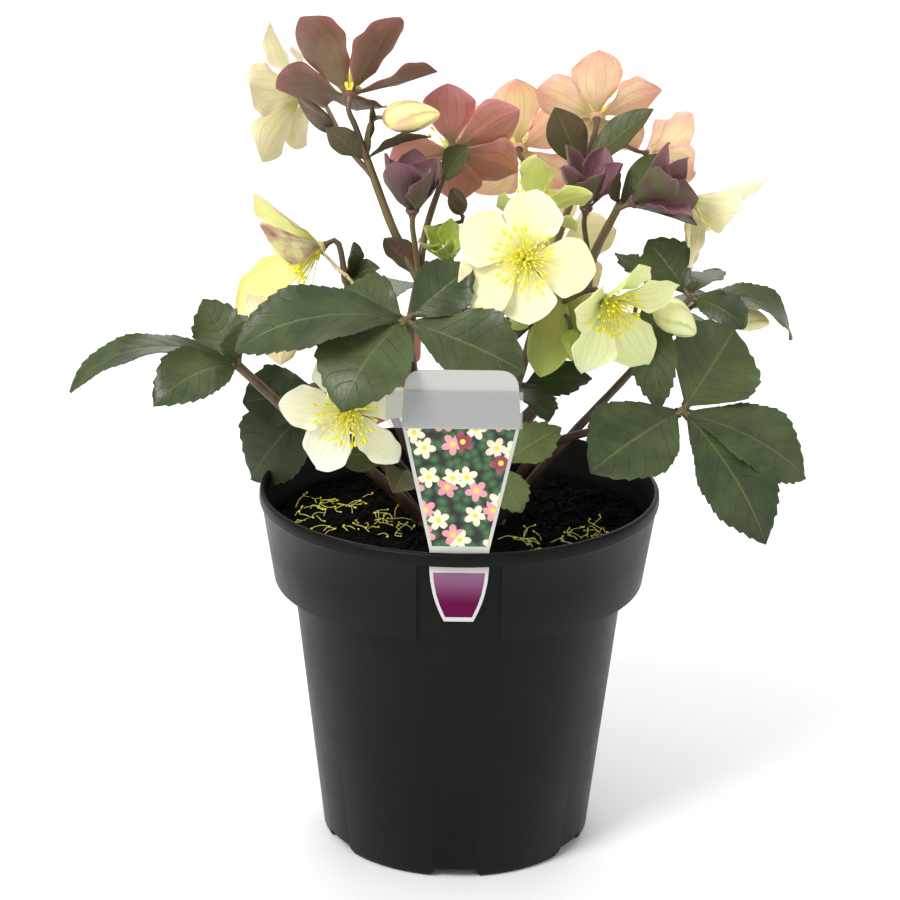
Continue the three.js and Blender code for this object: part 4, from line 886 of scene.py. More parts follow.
# One stamen: a thread of square section that bows out a little, with a long head on its end.
bulge = add(stamen_tree, "ShaderNodeMath", [given["Length"], 0.12], operation="MULTIPLY")
halfway = add(stamen_tree, "ShaderNodeMath", [given["Length"], 0.6], operation="MULTIPLY")
knee = add(stamen_tree, "ShaderNodeCombineXYZ", [bulge, 0, halfway])
top = add(stamen_tree, "ShaderNodeCombineXYZ", {2: given["Length"]})
bow = add(stamen_tree, "GeometryNodeCurveQuadraticBezier",
          {"Resolution": 4, "Start": (0, 0, 0), "Middle": knee, "End": top})
section = add(stamen_tree, "GeometryNodeCurvePrimitiveCircle",
              {"Resolution": 4, "Radius": given["Thread Radius"]})
thread = add(stamen_tree, "GeometryNodeCurveToMesh",
             {"Curve": bow, "Profile Curve": section, "Fill Caps": True})
ball = add(stamen_tree, "GeometryNodeMeshUVSphere",
           {"Segments": 6, "Rings": 4, "Radius": given["Head Radius"]})
head = add(stamen_tree, "GeometryNodeTransform",
           {"Geometry": ball, "Translation": top, "Scale": (1, 0.8, 1.7)})
marked = add(stamen_tree, "GeometryNodeStoreNamedAttribute",
             {"Geometry": head, "Name": "is_head", "Value": True}, data_type="BOOLEAN", domain="FACE")
stamen = add(stamen_tree, "GeometryNodeJoinGeometry", [thread])
stamen_tree.links.new(marked.outputs[0], stamen.inputs[0])

# One stamen on each point, with those in the middle half as long as the outer ones.
facing = add(stamen_tree, "FunctionNodeAlignRotationToVector", {"Vector": direction}, axis="Z")
vary = add(stamen_tree, "FunctionNodeRandomValue", {2: -0.14, 3: 0.14, "Seed": given["Seed"]},
           data_type="FLOAT")
longer = add(stamen_tree, "ShaderNodeMapRange", [share, 0, 0.75, 0.5, 1])
size = add(stamen_tree, "ShaderNodeMath", [longer, vary], operation="ADD")
brush = add(stamen_tree, "GeometryNodeInstanceOnPoints",
            {"Points": spots, "Instance": stamen, "Rotation": facing, "Scale": size})
real = add(stamen_tree, "GeometryNodeRealizeInstances", [brush])
threads = add(stamen_tree, "GeometryNodeSetMaterial", {"Geometry": real, "Material": filament})
chosen = add(stamen_tree, "GeometryNodeInputNamedAttribute", {"Name": "is_head"}, data_type="BOOLEAN")
heads = add(stamen_tree, "GeometryNodeSetMaterial",
            {"Geometry": threads, "Selection": chosen, "Material": pollen})
add(stamen_tree, "NodeGroupOutput", [heads])
print("stamens' tree:", len(stamen_tree.nodes), "nodes")

# %% Run a tree, and join meshes
def run_tree(tree, values, source=None):
    """The mesh that a Geometry Nodes tree makes with these inputs, as a plain mesh."""
    holder = put_in_scene("holder", source or bpy.data.meshes.new("holder"))
    modifier = holder.modifiers.new("tree", "NODES")
    modifier.node_group = tree
    for item in tree.interface.items_tree:
        if item.in_out == "INPUT" and item.name in values:
            modifier[item.identifier] = values[item.name]
    seen = holder.evaluated_get(bpy.context.evaluated_depsgraph_get())
    mesh = bpy.data.meshes.new_from_object(seen)
    bpy.data.objects.remove(holder)
    return mesh


def join_meshes(name, meshes):
    """One mesh from several, which keeps each one's materials, UVs and tints."""
    parts = [put_in_scene("part", mesh) for mesh in meshes]
    with bpy.context.temp_override(active_object=parts[0], selected_editable_objects=parts,
                                   selected_objects=parts, object=parts[0]):
        bpy.ops.object.join()
    whole = parts[0].data
    bpy.data.objects.remove(parts[0])
    whole.name = name
    shade_smooth(whole, 50)
    return whole


# %% [markdown]
# ## The hearts
# Round the stamens' feet stands a ring of nectaries, which are short green cups, and in the middle a few
# carpels swell and end in fine curved styles. These are few and each is different, so they are made by
# code: a tube with a radius for every ring. The brush and the rest are then joined in one mesh.

# %% Make the hearts
NECTARIES = 10
NECTARY_RADII = [0.45, 0.8, 0.95, 0.7]
CARPELS = 4
CARPEL_RADII = [0.6, 1.0, 1.25, 1.25, 0.95, 0.55, 0.34, 0.28, 0.25, 0.3]
MOUND = [[0.01, 0], [2.9, 0], [2.9, 1.2], [2.2, 2.4], [0.01, 2.9]]
FEWEST_STAMENS = 30
WIDEST_BRUSH = 68  # degrees that the outermost stamens lean from the bloom's axis


def make_heart(name, b, seed):
    """A bloom's stamens, nectaries and carpels, from its row b in the plan."""
    out, up, right = bloom_axes(b["yaw"], b["pitch"])
    heart = np.array(b["heart"], float)
    draw = random_from(seed + 100)
    piece = Piece(f"heart_parts_{name}", [filament, pollen, carpel_skin])

    def ray(turn, lean):
        """A unit vector that leans from the axis towards a turn about it."""
        aside = math.cos(turn) * right + math.sin(turn) * up
        return math.cos(lean) * out + math.sin(lean) * aside

    piece.put_turned(heart + 0.8 * out, out, MOUND, 12, 2)
    for k in range(NECTARIES):
        turn = 2 * math.pi * k / NECTARIES + 0.1 * next(draw)
        start = heart + 1.4 * out + 2.5 * ray(turn, math.pi / 2)
        points = start + np.outer([0, 1.2, 2.4, 3.4], ray(turn, math.radians(46)))
        piece.put_tube(points, NECTARY_RADII, 6, 2, 0.4)
    for k in range(CARPELS):
        turn = 2 * math.pi * (k + 0.2) / CARPELS + 0.2 * next(draw)
        foot = heart + 2.6 * out + 0.8 * ray(turn, math.pi / 2)
        route = [foot] + [foot + far * ray(turn, lean)
                          for far, lean in ((4.5, 0.22), (8.5, 0.16), (11, 0.34))]
        rings = len(CARPEL_RADII)
        piece.put_tube(through(route, rings - 1), CARPEL_RADII, 7, 2, np.linspace(0, 1, rings))
    body = piece.finish()

    values = {"Count": FEWEST_STAMENS + 4 * b["stamens"], "Length": b["length"] * 0.36 * MM, "Seed": seed,
              "Spread": math.radians(min(b["cup"] - 8, WIDEST_BRUSH)), "Thread Radius": 0.26 * MM,
              "Head Radius": 0.78 * MM}
    brush = run_tree(stamen_tree, values)
    turn_to = Matrix([list(row) for row in np.stack([right, up, out], axis=1)]).to_4x4()
    brush.transform(Matrix.Translation(Vector((heart + 2.4 * out) * MM)) @ turn_to)
    whole = join_meshes(f"heart_parts_{name}", [body.data, brush])
    bpy.data.objects.remove(body)
    made = put_in_scene(f"stamens_{name}", whole)
    stand_for(made, f"heart_{name}")
    return made


hearts = {name: make_heart(name, b, bloom_seeds[name]) for name, b in BLOOMS.items() if b["stamens"]}
print("hearts:", len(hearts), "with", len(hearts["front"].data.polygons), "faces in one")

# %% [markdown]
# ## The buds
# A closed bud is an egg whose five sepals wrap round each other, so its surface has five seams that turn
# slowly about it. The egg is a turned shape whose rings are pulled in along those seams.

# %% Make the buds
BUD_RINGS, BUD_SIDES = 30, 60


def make_bud(name, foot, tip, radius):
    foot, tip = np.array(foot, float), np.array(tip, float)
    axis = tip - foot
    length = np.linalg.norm(axis)
    axis = axis / length
    arm, other = two_across(axis)
    share = (1 - np.cos(np.pi * (np.arange(BUD_RINGS) + 0.25) / (BUD_RINGS - 0.5))) / 2
    turns = full_turn(BUD_SIDES)[None, :]
    seam = (SEPALS * (turns + 1.5 * share[:, None]) / (2 * np.pi)) % 1  # from one seam to the next
    lap = 1 - 0.07 * np.exp(-(seam / 0.16) ** 2) - 0.05 * seam
    bulge = np.sqrt(np.clip(1 - (2 * share - 1) ** 2, 0, 1)) * (1.12 - 0.5 * share ** 2)
    reach = radius * bulge[:, None] * lap
    points = (foot + share[:, None, None] * length * axis + (reach * np.cos(turns))[..., None] * arm
              + (reach * np.sin(turns))[..., None] * other)
    # The third colour lies along the seams, most of all near the tip, and on the foot.
    toward_tip = np.clip(share[:, None] * 1.4, 0.25, 1)
    on_foot = 0.5 * (share[:, None] < 0.1)
    tint = np.clip(np.exp(-(seam / 0.2) ** 2) * 0.75 * toward_tip + on_foot, 0, 1).ravel()
    piece = Piece(f"bud_wrap_{name}", [bud_skins[name]])
    piece.put(points.reshape(-1, 3), ring_faces(BUD_RINGS, BUD_SIDES), 0, None, tint)
    made = piece.finish()
    stand_for(made, f"bud_{name}")
    return made


for name, (foot, tip, radius) in BUDS.items():
    make_bud(name, foot, tip, radius)
print("buds:", len(BUDS))

# %% [markdown]
# ## The leaves
# A hellebore leaf is divided into leaflets that fan out from one knuckle. Their edges are cut into teeth
# that point forwards, and between the side veins the blade bulges a little, which is what breaks up the
# light on it. The leaflet takes the same blade as the sepal, with teeth and relief turned on.

# %% Make the leaves
ROWS_PER_TOOTH = 4
LEAFLET_FORM = {"outline": "leaf", "foot": 1.3, "thickness": 0.5, "camber": -16, "wave": 1.2, "waves": 1.2,
                "ruffle": 0.6, "teeth": 1.3, "relief": 0.2, "uneven": 0.03, "columns": 22}
KNUCKLE = [[0.01, -2], [1.7, -1.4], [2.2, 0], [1.7, 1.4], [0.01, 2]]


def make_leaf(name, hub, colour, leaflets):
    hub = np.array(hub, float)
    piece = Piece(f"leaflets_{name}", leaf_faces[colour] + [stem_skin])
    for i, (tip, width, bend, roll) in enumerate(leaflets):
        tip = np.array(tip, float)
        toward = (tip - hub) / np.linalg.norm(tip - hub)
        start = aim_blade(hub + 2 * toward, tip, roll, bend)
        blade = grow_blade(**start, width=width, phase=2 * i,
                           rows=ROWS_PER_TOOTH * tooth_count(start["length"]), **LEAFLET_FORM)
        piece.put_blade(blade, tint=0.5 + 0.5 * math.sin(2.1 * i + len(name)))
        piece.put_tube(np.array([hub, hub + 3.2 * toward, hub + 6 * toward]), [1.7, 1.3, 0.7], 8, 2, 0.6)
    piece.put_turned(hub, [0, 0, 1], KNUCKLE, 12, 2, 0.5)
    made = piece.finish()
    stand_for(made, f"leaf_{name}")
    return made


leaf_pieces = {name: make_leaf(name, *leaf) for name, leaf in LEAVES.items()}
print("leaves:", len(leaf_pieces), "with", len(leaf_pieces["front"].data.polygons), "faces in one")

# %% [markdown]
# ## The stems
# The stems grow from one crown at the soil. Each is a tube that thins towards its end and swells a little
# where it leaves its fork, and the stalk of a bloom widens into the disc under the sepals. They turn
# greener towards their ends. The bracts at the forks belong to the same piece.

# %% Make the stems
STEM_SIDES = 9
RING_SPACING = 3
SKIRT_RADIUS = 2.3  # of a stalk where it meets the disc under the sepals
BRACT_FORM = {"outline": "leaf", "foot": 1.2, "thickness": 0.5, "camber": 30, "wave": 0.4, "waves": 1,
              "ruffle": 0.4, "relief": 0.3, "rows": 28, "columns": 12}
CROWN_HEIGHT, CROWN_RADIUS, CROWN_RISE = 152, 25.5, 12


def stem_end(target):
    """The last points of a stem that carries something: into the disc, the bud or the knuckle."""
    kind, name = target.split(" ")
    if kind == "bloom":
        b = BLOOMS[name]
        out, _, _ = bloom_axes(b["yaw"], b["pitch"])
        return [np.array(b["heart"]) - back * out for back in (8, 1.4)]
    if kind == "bud":
        foot, tip = [np.array(p, float) for p in BUDS[name][:2]]
        away = (foot - tip) / np.linalg.norm(foot - tip)
        return [foot + 4 * away, foot - 0.8 * away]
    return [np.array(LEAVES[name][0], float)]


stems = Piece("stems_and_bracts", [stem_skin] + leaf_faces["bract"])
for first, last, route, target in STEMS:
    route = [np.array(p, float) for p in route] + (stem_end(target) if target else [])
    length = sum(np.linalg.norm(b - a) for a, b in zip(route, route[1:]))
    steps = max(6, round(length / RING_SPACING))
    share = np.linspace(0, 1, steps + 1)
    radii = first + (last - first) * share + 0.25 * first * np.exp(-(share * length / 5) ** 2)
    radii = radii * (1 + 0.03 * np.sin(share * length / 2.3))
    if target and target.startswith("bloom"):
        radii = np.maximum(radii, SKIRT_RADIUS * np.exp(-((1 - share) * length / 2.2) ** 2))
    path = through(route, steps)
    # Green sets in above 200 mm, and more in some stems than in others.
    tint = np.clip((path[:, 2] - 200) / 130, 0, 0.8) * (0.6 + 0.4 * math.sin(7 * first + length))
    stems.put_tube(path, radii, STEM_SIDES, 0, tint)
for i, (foot, tip, width, bend, roll) in enumerate(BRACTS):
    start = aim_blade(np.array(foot, float), np.array(tip, float), roll, bend)
    stems.put_blade(grow_blade(**start, width=width, phase=i, **BRACT_FORM), finish=1,
                    tint=0.5 + 0.5 * math.sin(2.7 * i))
rise = np.linspace(-math.pi / 2 + 0.1, math.pi / 2 - 0.1, 12)
crown = [[CROWN_RADIUS * math.cos(a), CROWN_RISE * math.sin(a)] for a in rise]
stems.put_turned([0, 0, CROWN_HEIGHT], [0, 0, 1], crown, 40, 0, 0)
stem_piece = stems.finish()
stand_for(stem_piece, "stems")
print("stems: faces", len(stem_piece.data.polygons))

# %% [markdown]
# ## Potting mix
# Potting mix is composted bark and peat: nearly black, matt, and lumpy from crumb to crumb. The body of it
# is one turned shape that fills the pot, with its surface raised and lowered by a sum of waves. The crumbs
# repeat by the thousand, so Geometry Nodes scatter them, with a fixed seed. A few stamens have dropped on
# the soil, as they do when a bloom ages.

# %% The soil's finish
def crumb_material(name, dark, brown, roughness):
    """Dark organic crumbs, with a few lighter fibres in them."""
    made, tree = new_tree(name)
    # Fibres about 1.4 mm across, on lumps of about 2.4 mm.
    place = add(tree, "ShaderNodeTexCoord").outputs["Object"]
    grain = add(tree, "ShaderNodeTexNoise", {"Vector": place, "Scale": 700, "Detail": 6, "Roughness": 0.7})
    lumps = add(tree, "ShaderNodeTexVoronoi", {"Vector": place, "Scale": 420})
    speck = add(tree, "ShaderNodeMapRange", [grain, 0.52, 0.72], interpolation_type="SMOOTHSTEP")
    colour = add(tree, "ShaderNodeMix", {0: speck, 6: dark, 7: brown}, data_type="RGBA")
    rough = add(tree, "ShaderNodeMath", [lumps, grain], operation="ADD")
    bump = add(tree, "ShaderNodeBump", {"Strength": 1, "Distance": 1.6 * MM, "Height": rough})
    skin = add(tree, "ShaderNodeBsdfPrincipled", {
        "Base Color": colour, "Roughness": roughness, "Normal": bump, "Specular IOR Level": 0.1})
    add(tree, "ShaderNodeOutputMaterial", [skin])
    return made


soil_finish = crumb_material("potting_mix_crumb", "#0b0907", "#241b14", 0.95)

# %% The body of the soil
POT_FLOOR = 7.35
POCKET_HALF = 19  # half width of the pocket for the label in the pot's collar
SOIL_LEVEL = 157
SOIL_EDGE = 87.0
SOIL_SIDES, SOIL_RINGS = 150, 46


def pocket_back(z):
    """Where the pocket's back wall stands: it leans with the collar."""
    return -83.6 - 5.7 * (z - 130) / 38.8


def soil_height(x, y):
    """The soil's level: broad humps, and smaller lumps on them."""
    broad = np.sin(0.21 * x + 1) * np.cos(0.17 * y) + 0.7 * np.sin(0.47 * x - 0.39 * y)
    fine = (np.sin(0.9 * x + 0.5 * y) * np.sin(1.1 * y - 0.4 * x + 2)
            + 0.6 * np.sin(1.9 * x - 1.3) * np.cos(1.7 * y))
    return SOIL_LEVEL + 1.3 * broad + 0.8 * fine


def make_soil():
    """The soil's body, which fits inside the pot and behind the wall of the label's pocket."""
    below = [[0.01, POT_FLOOR], [62, POT_FLOOR], [76.6, 132], [84.2, 133.6], [SOIL_EDGE + 0.4, 153]]
    flat = [[SOIL_EDGE * (1 - i / SOIL_RINGS) + 0.01, SOIL_LEVEL] for i in range(SOIL_RINGS + 1)]
    profile = np.array(below + flat)
    turns = full_turn(SOIL_SIDES)
    x = profile[:, :1] * np.cos(turns)
    y = profile[:, :1] * np.sin(turns)
    z = np.broadcast_to(profile[:, 1:], x.shape).copy()
    z[len(below):] = soil_height(x, y)[len(below):]
    behind_pocket = (np.abs(x) < POCKET_HALF + 3) & (y < 0) & (z > POT_FLOOR + 1)
    y = np.where(behind_pocket, np.maximum(y, pocket_back(z) + 2.2), y)
    points = np.stack([x, y, z], axis=-1).reshape(-1, 3)
    piece = Piece("potting_mix", [soil_finish])
    piece.put(points, ring_faces(len(profile), SOIL_SIDES), 0)
    return piece.finish()


soil_body = make_soil()
print("soil's body: faces", len(soil_body.data.polygons))

# %% Scatter the crumbs
CRUMBS_PER_SQUARE_METRE = 110000.0
CRUMB_RADIUS = 2.0 * MM
LID_RINGS, LID_SIDES = 24, 60

crumb_tree, given = new_growth_tree("scattered crumbs", {
    "Surface": "Geometry", "Count Per Square Metre": "Float", "Size": "Float", "Seed": "Int"})
spread_out = add(crumb_tree, "GeometryNodeDistributePointsOnFaces", {
    "Mesh": given["Surface"], "Density": given["Count Per Square Metre"], "Seed": given["Seed"]})
crumb = add(crumb_tree, "GeometryNodeMeshIcoSphere", {"Radius": given["Size"], "Subdivisions": 1})
turned = add(crumb_tree, "FunctionNodeRandomValue", {1: (6.28, 6.28, 6.28), "Seed": given["Seed"]},
             data_type="FLOAT_VECTOR")
sizes = add(crumb_tree, "FunctionNodeRandomValue",
            {0: (0.35, 0.35, 0.3), 1: (1.3, 0.9, 0.8), "Seed": given["Seed"]}, data_type="FLOAT_VECTOR")
crumbs = add(crumb_tree, "GeometryNodeInstanceOnPoints", {
    "Points": spread_out.outputs["Points"], "Instance": crumb, "Rotation": turned, "Scale": sizes})
real = add(crumb_tree, "GeometryNodeRealizeInstances", [crumbs])
painted = add(crumb_tree, "GeometryNodeSetMaterial", {"Geometry": real, "Material": soil_finish})
add(crumb_tree, "NodeGroupOutput", [painted])


def top_of_soil():
    """The soil's upper surface on its own, facing up, for the crumbs to lie on."""
    piece = Piece("soil_top", [])
    radius = np.linspace(3, SOIL_EDGE - 2.5, LID_RINGS)[:, None]
    turns = full_turn(LID_SIDES)
    x, y = radius * np.cos(turns), radius * np.sin(turns)
    quads = [[a, d, c, b] for a, b, c, d in ring_faces(LID_RINGS, LID_SIDES)[:-2]]
    piece.put(np.stack([x, y, soil_height(x, y) + 0.1], axis=-1).reshape(-1, 3), quads, 0)
    return piece.finish()


lid = top_of_soil()
crumb_mesh = run_tree(crumb_tree, {"Count Per Square Metre": CRUMBS_PER_SQUARE_METRE,
                                   "Size": CRUMB_RADIUS, "Seed": 5}, lid.data)
bpy.data.objects.remove(lid)
print("crumbs: faces", len(crumb_mesh.polygons))

# %% Drop the old stamens and join the soil
FALLEN_STAMENS = 90
FALLEN_AT = [(-72, 6), (-60, 14), (-52, -14), (-36, -14), (50, -34), (66, -22), (30, -40)]
FALLEN_HEAD = [[0.05, -0.8], [0.42, -0.3], [0.42, 0.4], [0.05, 0.8]]

fallen = Piece("fallen_stamens", [pollen, filament])
draw = random_from(77)
for k in range(FALLEN_STAMENS):
    middle = FALLEN_AT[k % len(FALLEN_AT)]
    x, y = middle[0] + 14 * next(draw), middle[1] + 13 * next(draw)
    if math.hypot(x, y) < SOIL_EDGE - 5:
        at = np.array([x, y, soil_height(x, y) + 1.6])
        along = np.array([next(draw), next(draw), 0.1])
        along = along / np.linalg.norm(along)
        bow = np.cross(along, [0, 0, 1]) * 3 * next(draw)
        reach = 8 + 4 * next(draw)
        tip = at + reach * along
        route = [at, at + 0.4 * reach * along + bow + [0, 0, 0.8], at + 0.8 * reach * along + bow, tip]
        fallen.put_tube(through(route, 8), 0.18, 4, 1)
        fallen.put_turned(tip, along, FALLEN_HEAD, 6, 0)
fallen_piece = fallen.finish()
soil_mesh = join_meshes("potting_mix", [soil_body.data, crumb_mesh, fallen_piece.data])
bpy.data.objects.remove(soil_body)
bpy.data.objects.remove(fallen_piece)
stand_for(put_in_scene("potting_mix", soil_mesh), "soil")
print("soil: faces", len(soil_mesh.polygons))

# %% [markdown]
# ## The pot
# The pot is thermoformed or moulded from recycled polypropylene, which is why it is charcoal and not a
# clean black, with a satin skin and a very fine grain. A nursery pot has a wide collar under its rim, so
# that pots nest and can be gripped, and a foot ring with notches for drainage. A profile turned round the
# axis makes it. The label pocket, the slot and the drains are cut from it with Boolean modifiers, because
# a moulded pot has them as clean openings.

# %% The pot's plastic
def moulded_plastic(name, colour, worn, roughness, grain_mm, depth_mm):
    """Moulded plastic with a grain of a real size and depth."""
    made, tree = new_tree(name)
    # Over the grain lie scuffs, about 38 mm across, in which the plastic is paler and duller.
    place = add(tree, "ShaderNodeTexCoord").outputs["Object"]
    grain = add(tree, "ShaderNodeTexNoise", {"Vector": place, "Scale": 1000 / grain_mm, "Detail": 2})
    scuffs = add(tree, "ShaderNodeTexNoise", {"Vector": place, "Scale": 26, "Detail": 6, "Roughness": 0.7})
    worn_at = add(tree, "ShaderNodeMapRange", [scuffs, 0.45, 0.8, 0, 0.6])
    mixed = add(tree, "ShaderNodeMix", {0: worn_at, 6: colour, 7: worn}, data_type="RGBA")
    sheen = add(tree, "ShaderNodeMapRange", [scuffs, 0.3, 0.7, roughness - 0.06, roughness + 0.08])
    bump = add(tree, "ShaderNodeBump", {"Strength": 0.5, "Distance": depth_mm * MM, "Height": grain})
    skin = add(tree, "ShaderNodeBsdfPrincipled", {
        "Base Color": mixed, "Roughness": sheen, "Normal": bump, "IOR": 1.49, "Specular IOR Level": 0.14})
    add(tree, "ShaderNodeOutputMaterial", [skin])
    return made


pot_plastic = moulded_plastic("charcoal_polypropylene", "#0b0b0a", "#151514", 0.4, 0.9, 0.12)
print("pot's finish:", pot_plastic.name)

# %% The pot's profile
# Radius and height, from the middle of its underside round the rim to the middle of its floor.
POT_PROFILE = [
    [0.01, 0], [22, 0], [22.6, 0.4], [23, 5.1], [23.6, 5.5], [53.4, 5.5], [54, 5.1], [54.6, 0.4], [55, 0],
    [61.6, 0], [63.4, 0.7], [64.8, 3], [72, 66.5], [78.9, 127.6], [79.2, 129.4], [79.8, 130], [87.2, 130],
    [88.0, 130.3], [88.3, 131], [91.2, 150], [94.0, 168.2], [94.4, 168.8], [95, 169.4], [95.2, 170.6],
    [95, 173.8], [94.6, 174.6], [94, 175], [92.9, 175], [92.5, 174.5], [91.6, 162], [90.4, 160.4],
    [88.6, 147], [86.8, 133.4], [86.2, 133], [78.2, 132], [77.6, 131.2], [70.5, 66.5], [63.2, 8], [62.2, 7],
    [0.01, 7]]
POT_SIDES = 180
print("pot's height:", max(height for _, height in POT_PROFILE), "mm")

# %% Helpers that turn, push out and carve
def turn_profile(name, profile, sides, material):
    """A closed round body about the pot's axis, from [radius, height] along its outline."""
    piece = Piece(name, [material])
    profile = np.array(profile, float)
    turns = full_turn(sides)
    rings = np.stack([profile[:, :1] * np.cos(turns), profile[:, :1] * np.sin(turns),
                      np.broadcast_to(profile[:, 1:], (len(profile), sides))], axis=-1)
    piece.put(rings.reshape(-1, 3), ring_faces(len(profile), sides), 0)
    return piece.finish()


def prism(name, outline, start, end, material, axis="X"):
    """A closed prism: an outline in Y and Z pushed along X, or one in X and Z pushed along Y."""
    count = len(outline)
    piece = Piece(name, [material])
    rows = [[(at, a, b) if axis == "X" else (a, at, b) for a, b in outline] for at in (start, end)]
    quads = [[i, (i + 1) % count, (i + 1) % count + count, i + count] for i in range(count)]
    caps = [list(range(count))[::-1], list(range(count, 2 * count))]
    piece.put(np.array(rows, float).reshape(-1, 3), quads + caps, 0)
    made = piece.finish()
    if volume_of(made) < 0:
        made.data.flip_normals()
    return made


def volume_of(made):
    """The volume inside a mesh, which is below 0 where its faces point inwards."""
    body = bmesh.new()
    body.from_mesh(made.data)
    size = body.calc_volume(signed=True)
    body.free()
    return size


def carve(made, other, operation):
    """Cuts other from made, or joins it on, for good."""
    modifier = made.modifiers.new("carve", "BOOLEAN")
    modifier.object, modifier.operation, modifier.solver = other, operation, "EXACT"
    seen = made.evaluated_get(bpy.context.evaluated_depsgraph_get())
    carved = bpy.data.meshes.new_from_object(seen)
    made.modifiers.remove(modifier)
    made.data = carved
    bpy.data.objects.remove(other)


# %% Turn the pot and cut it
POCKET_WALL = 1.5  # thickness of the pocket's walls
SLOT_HALF = 14.5
DRAINS = 6  # holes, and as many notches in the foot ring between them
DRAIN_CIRCLE = 38 * MM
DRAIN_CUTTER = [[0.01, 2], [4, 2], [4, 12], [0.01, 12]]
NOTCH_CUTTER = [[-12.5, -1], [12.5, -1], [9.5, 5], [-9.5, 5]]
COLLAR_SPACE = [[0.01, 130.4], [87.9, 130.4], [93.7, 168.6], [0.01, 168.6]]

pot = turn_profile("nursery_pot", POT_PROFILE, POT_SIDES, pot_plastic)
wall = prism("pocket_wall", [[-93.9, 167.6], [-88.1, 130.6], [pocket_back(130.6) + POCKET_WALL, 130.6],
                             [pocket_back(168.4) + POCKET_WALL, 168.4], [-93.4, 168.4]],
             -POCKET_HALF - POCKET_WALL, POCKET_HALF + POCKET_WALL, pot_plastic)
inside_collar = turn_profile("collar_space", COLLAR_SPACE, POT_SIDES, pot_plastic)
carve(wall, inside_collar, "INTERSECT")
carve(pot, wall, "UNION")
carve(pot, prism("pocket", [[-101, 129], [pocket_back(129), 129],
                            [pocket_back(168.8), 168.8], [-101, 168.8]],
                 -POCKET_HALF, POCKET_HALF, pot_plastic), "DIFFERENCE")
carve(pot, prism("slot", [[-90.48, 166], [-92.02, 166], [-92.55, 179], [-91.01, 179]],
                 -SLOT_HALF, SLOT_HALF, pot_plastic), "DIFFERENCE")
for i in range(DRAINS):
    notch = prism("notch", NOTCH_CUTTER, 52, 68, pot_plastic, "Y")
    notch.data.transform(Matrix.Rotation(math.pi + 2 * math.pi * i / DRAINS, 4, "Z"))
    carve(pot, notch, "DIFFERENCE")
    drain = turn_profile("drain", DRAIN_CUTTER, 24, pot_plastic)
    turn_to = Matrix.Rotation(2 * math.pi * (i + 0.5) / DRAINS, 4, "Z")
    drain.data.transform(turn_to @ Matrix.Translation((0, -DRAIN_CIRCLE, 0)))
    carve(pot, drain, "DIFFERENCE")
shade_smooth(pot.data, 35)
stand_for(pot, "pot")
print("pot: faces", len(pot.data.polygons))

# %% [markdown]
# ## The plant label
# The label is die-cut from white plastic sheet and printed on its front: a wide head with a picture, a
# neck that passes through the pot's rim, and a tongue in the pocket. The picture here is a plain pattern
# of pale five-petalled flowers on green, and there is no lettering. The print lies under a thin satin
# varnish, so its colours are even and deep, and no part of it mirrors.

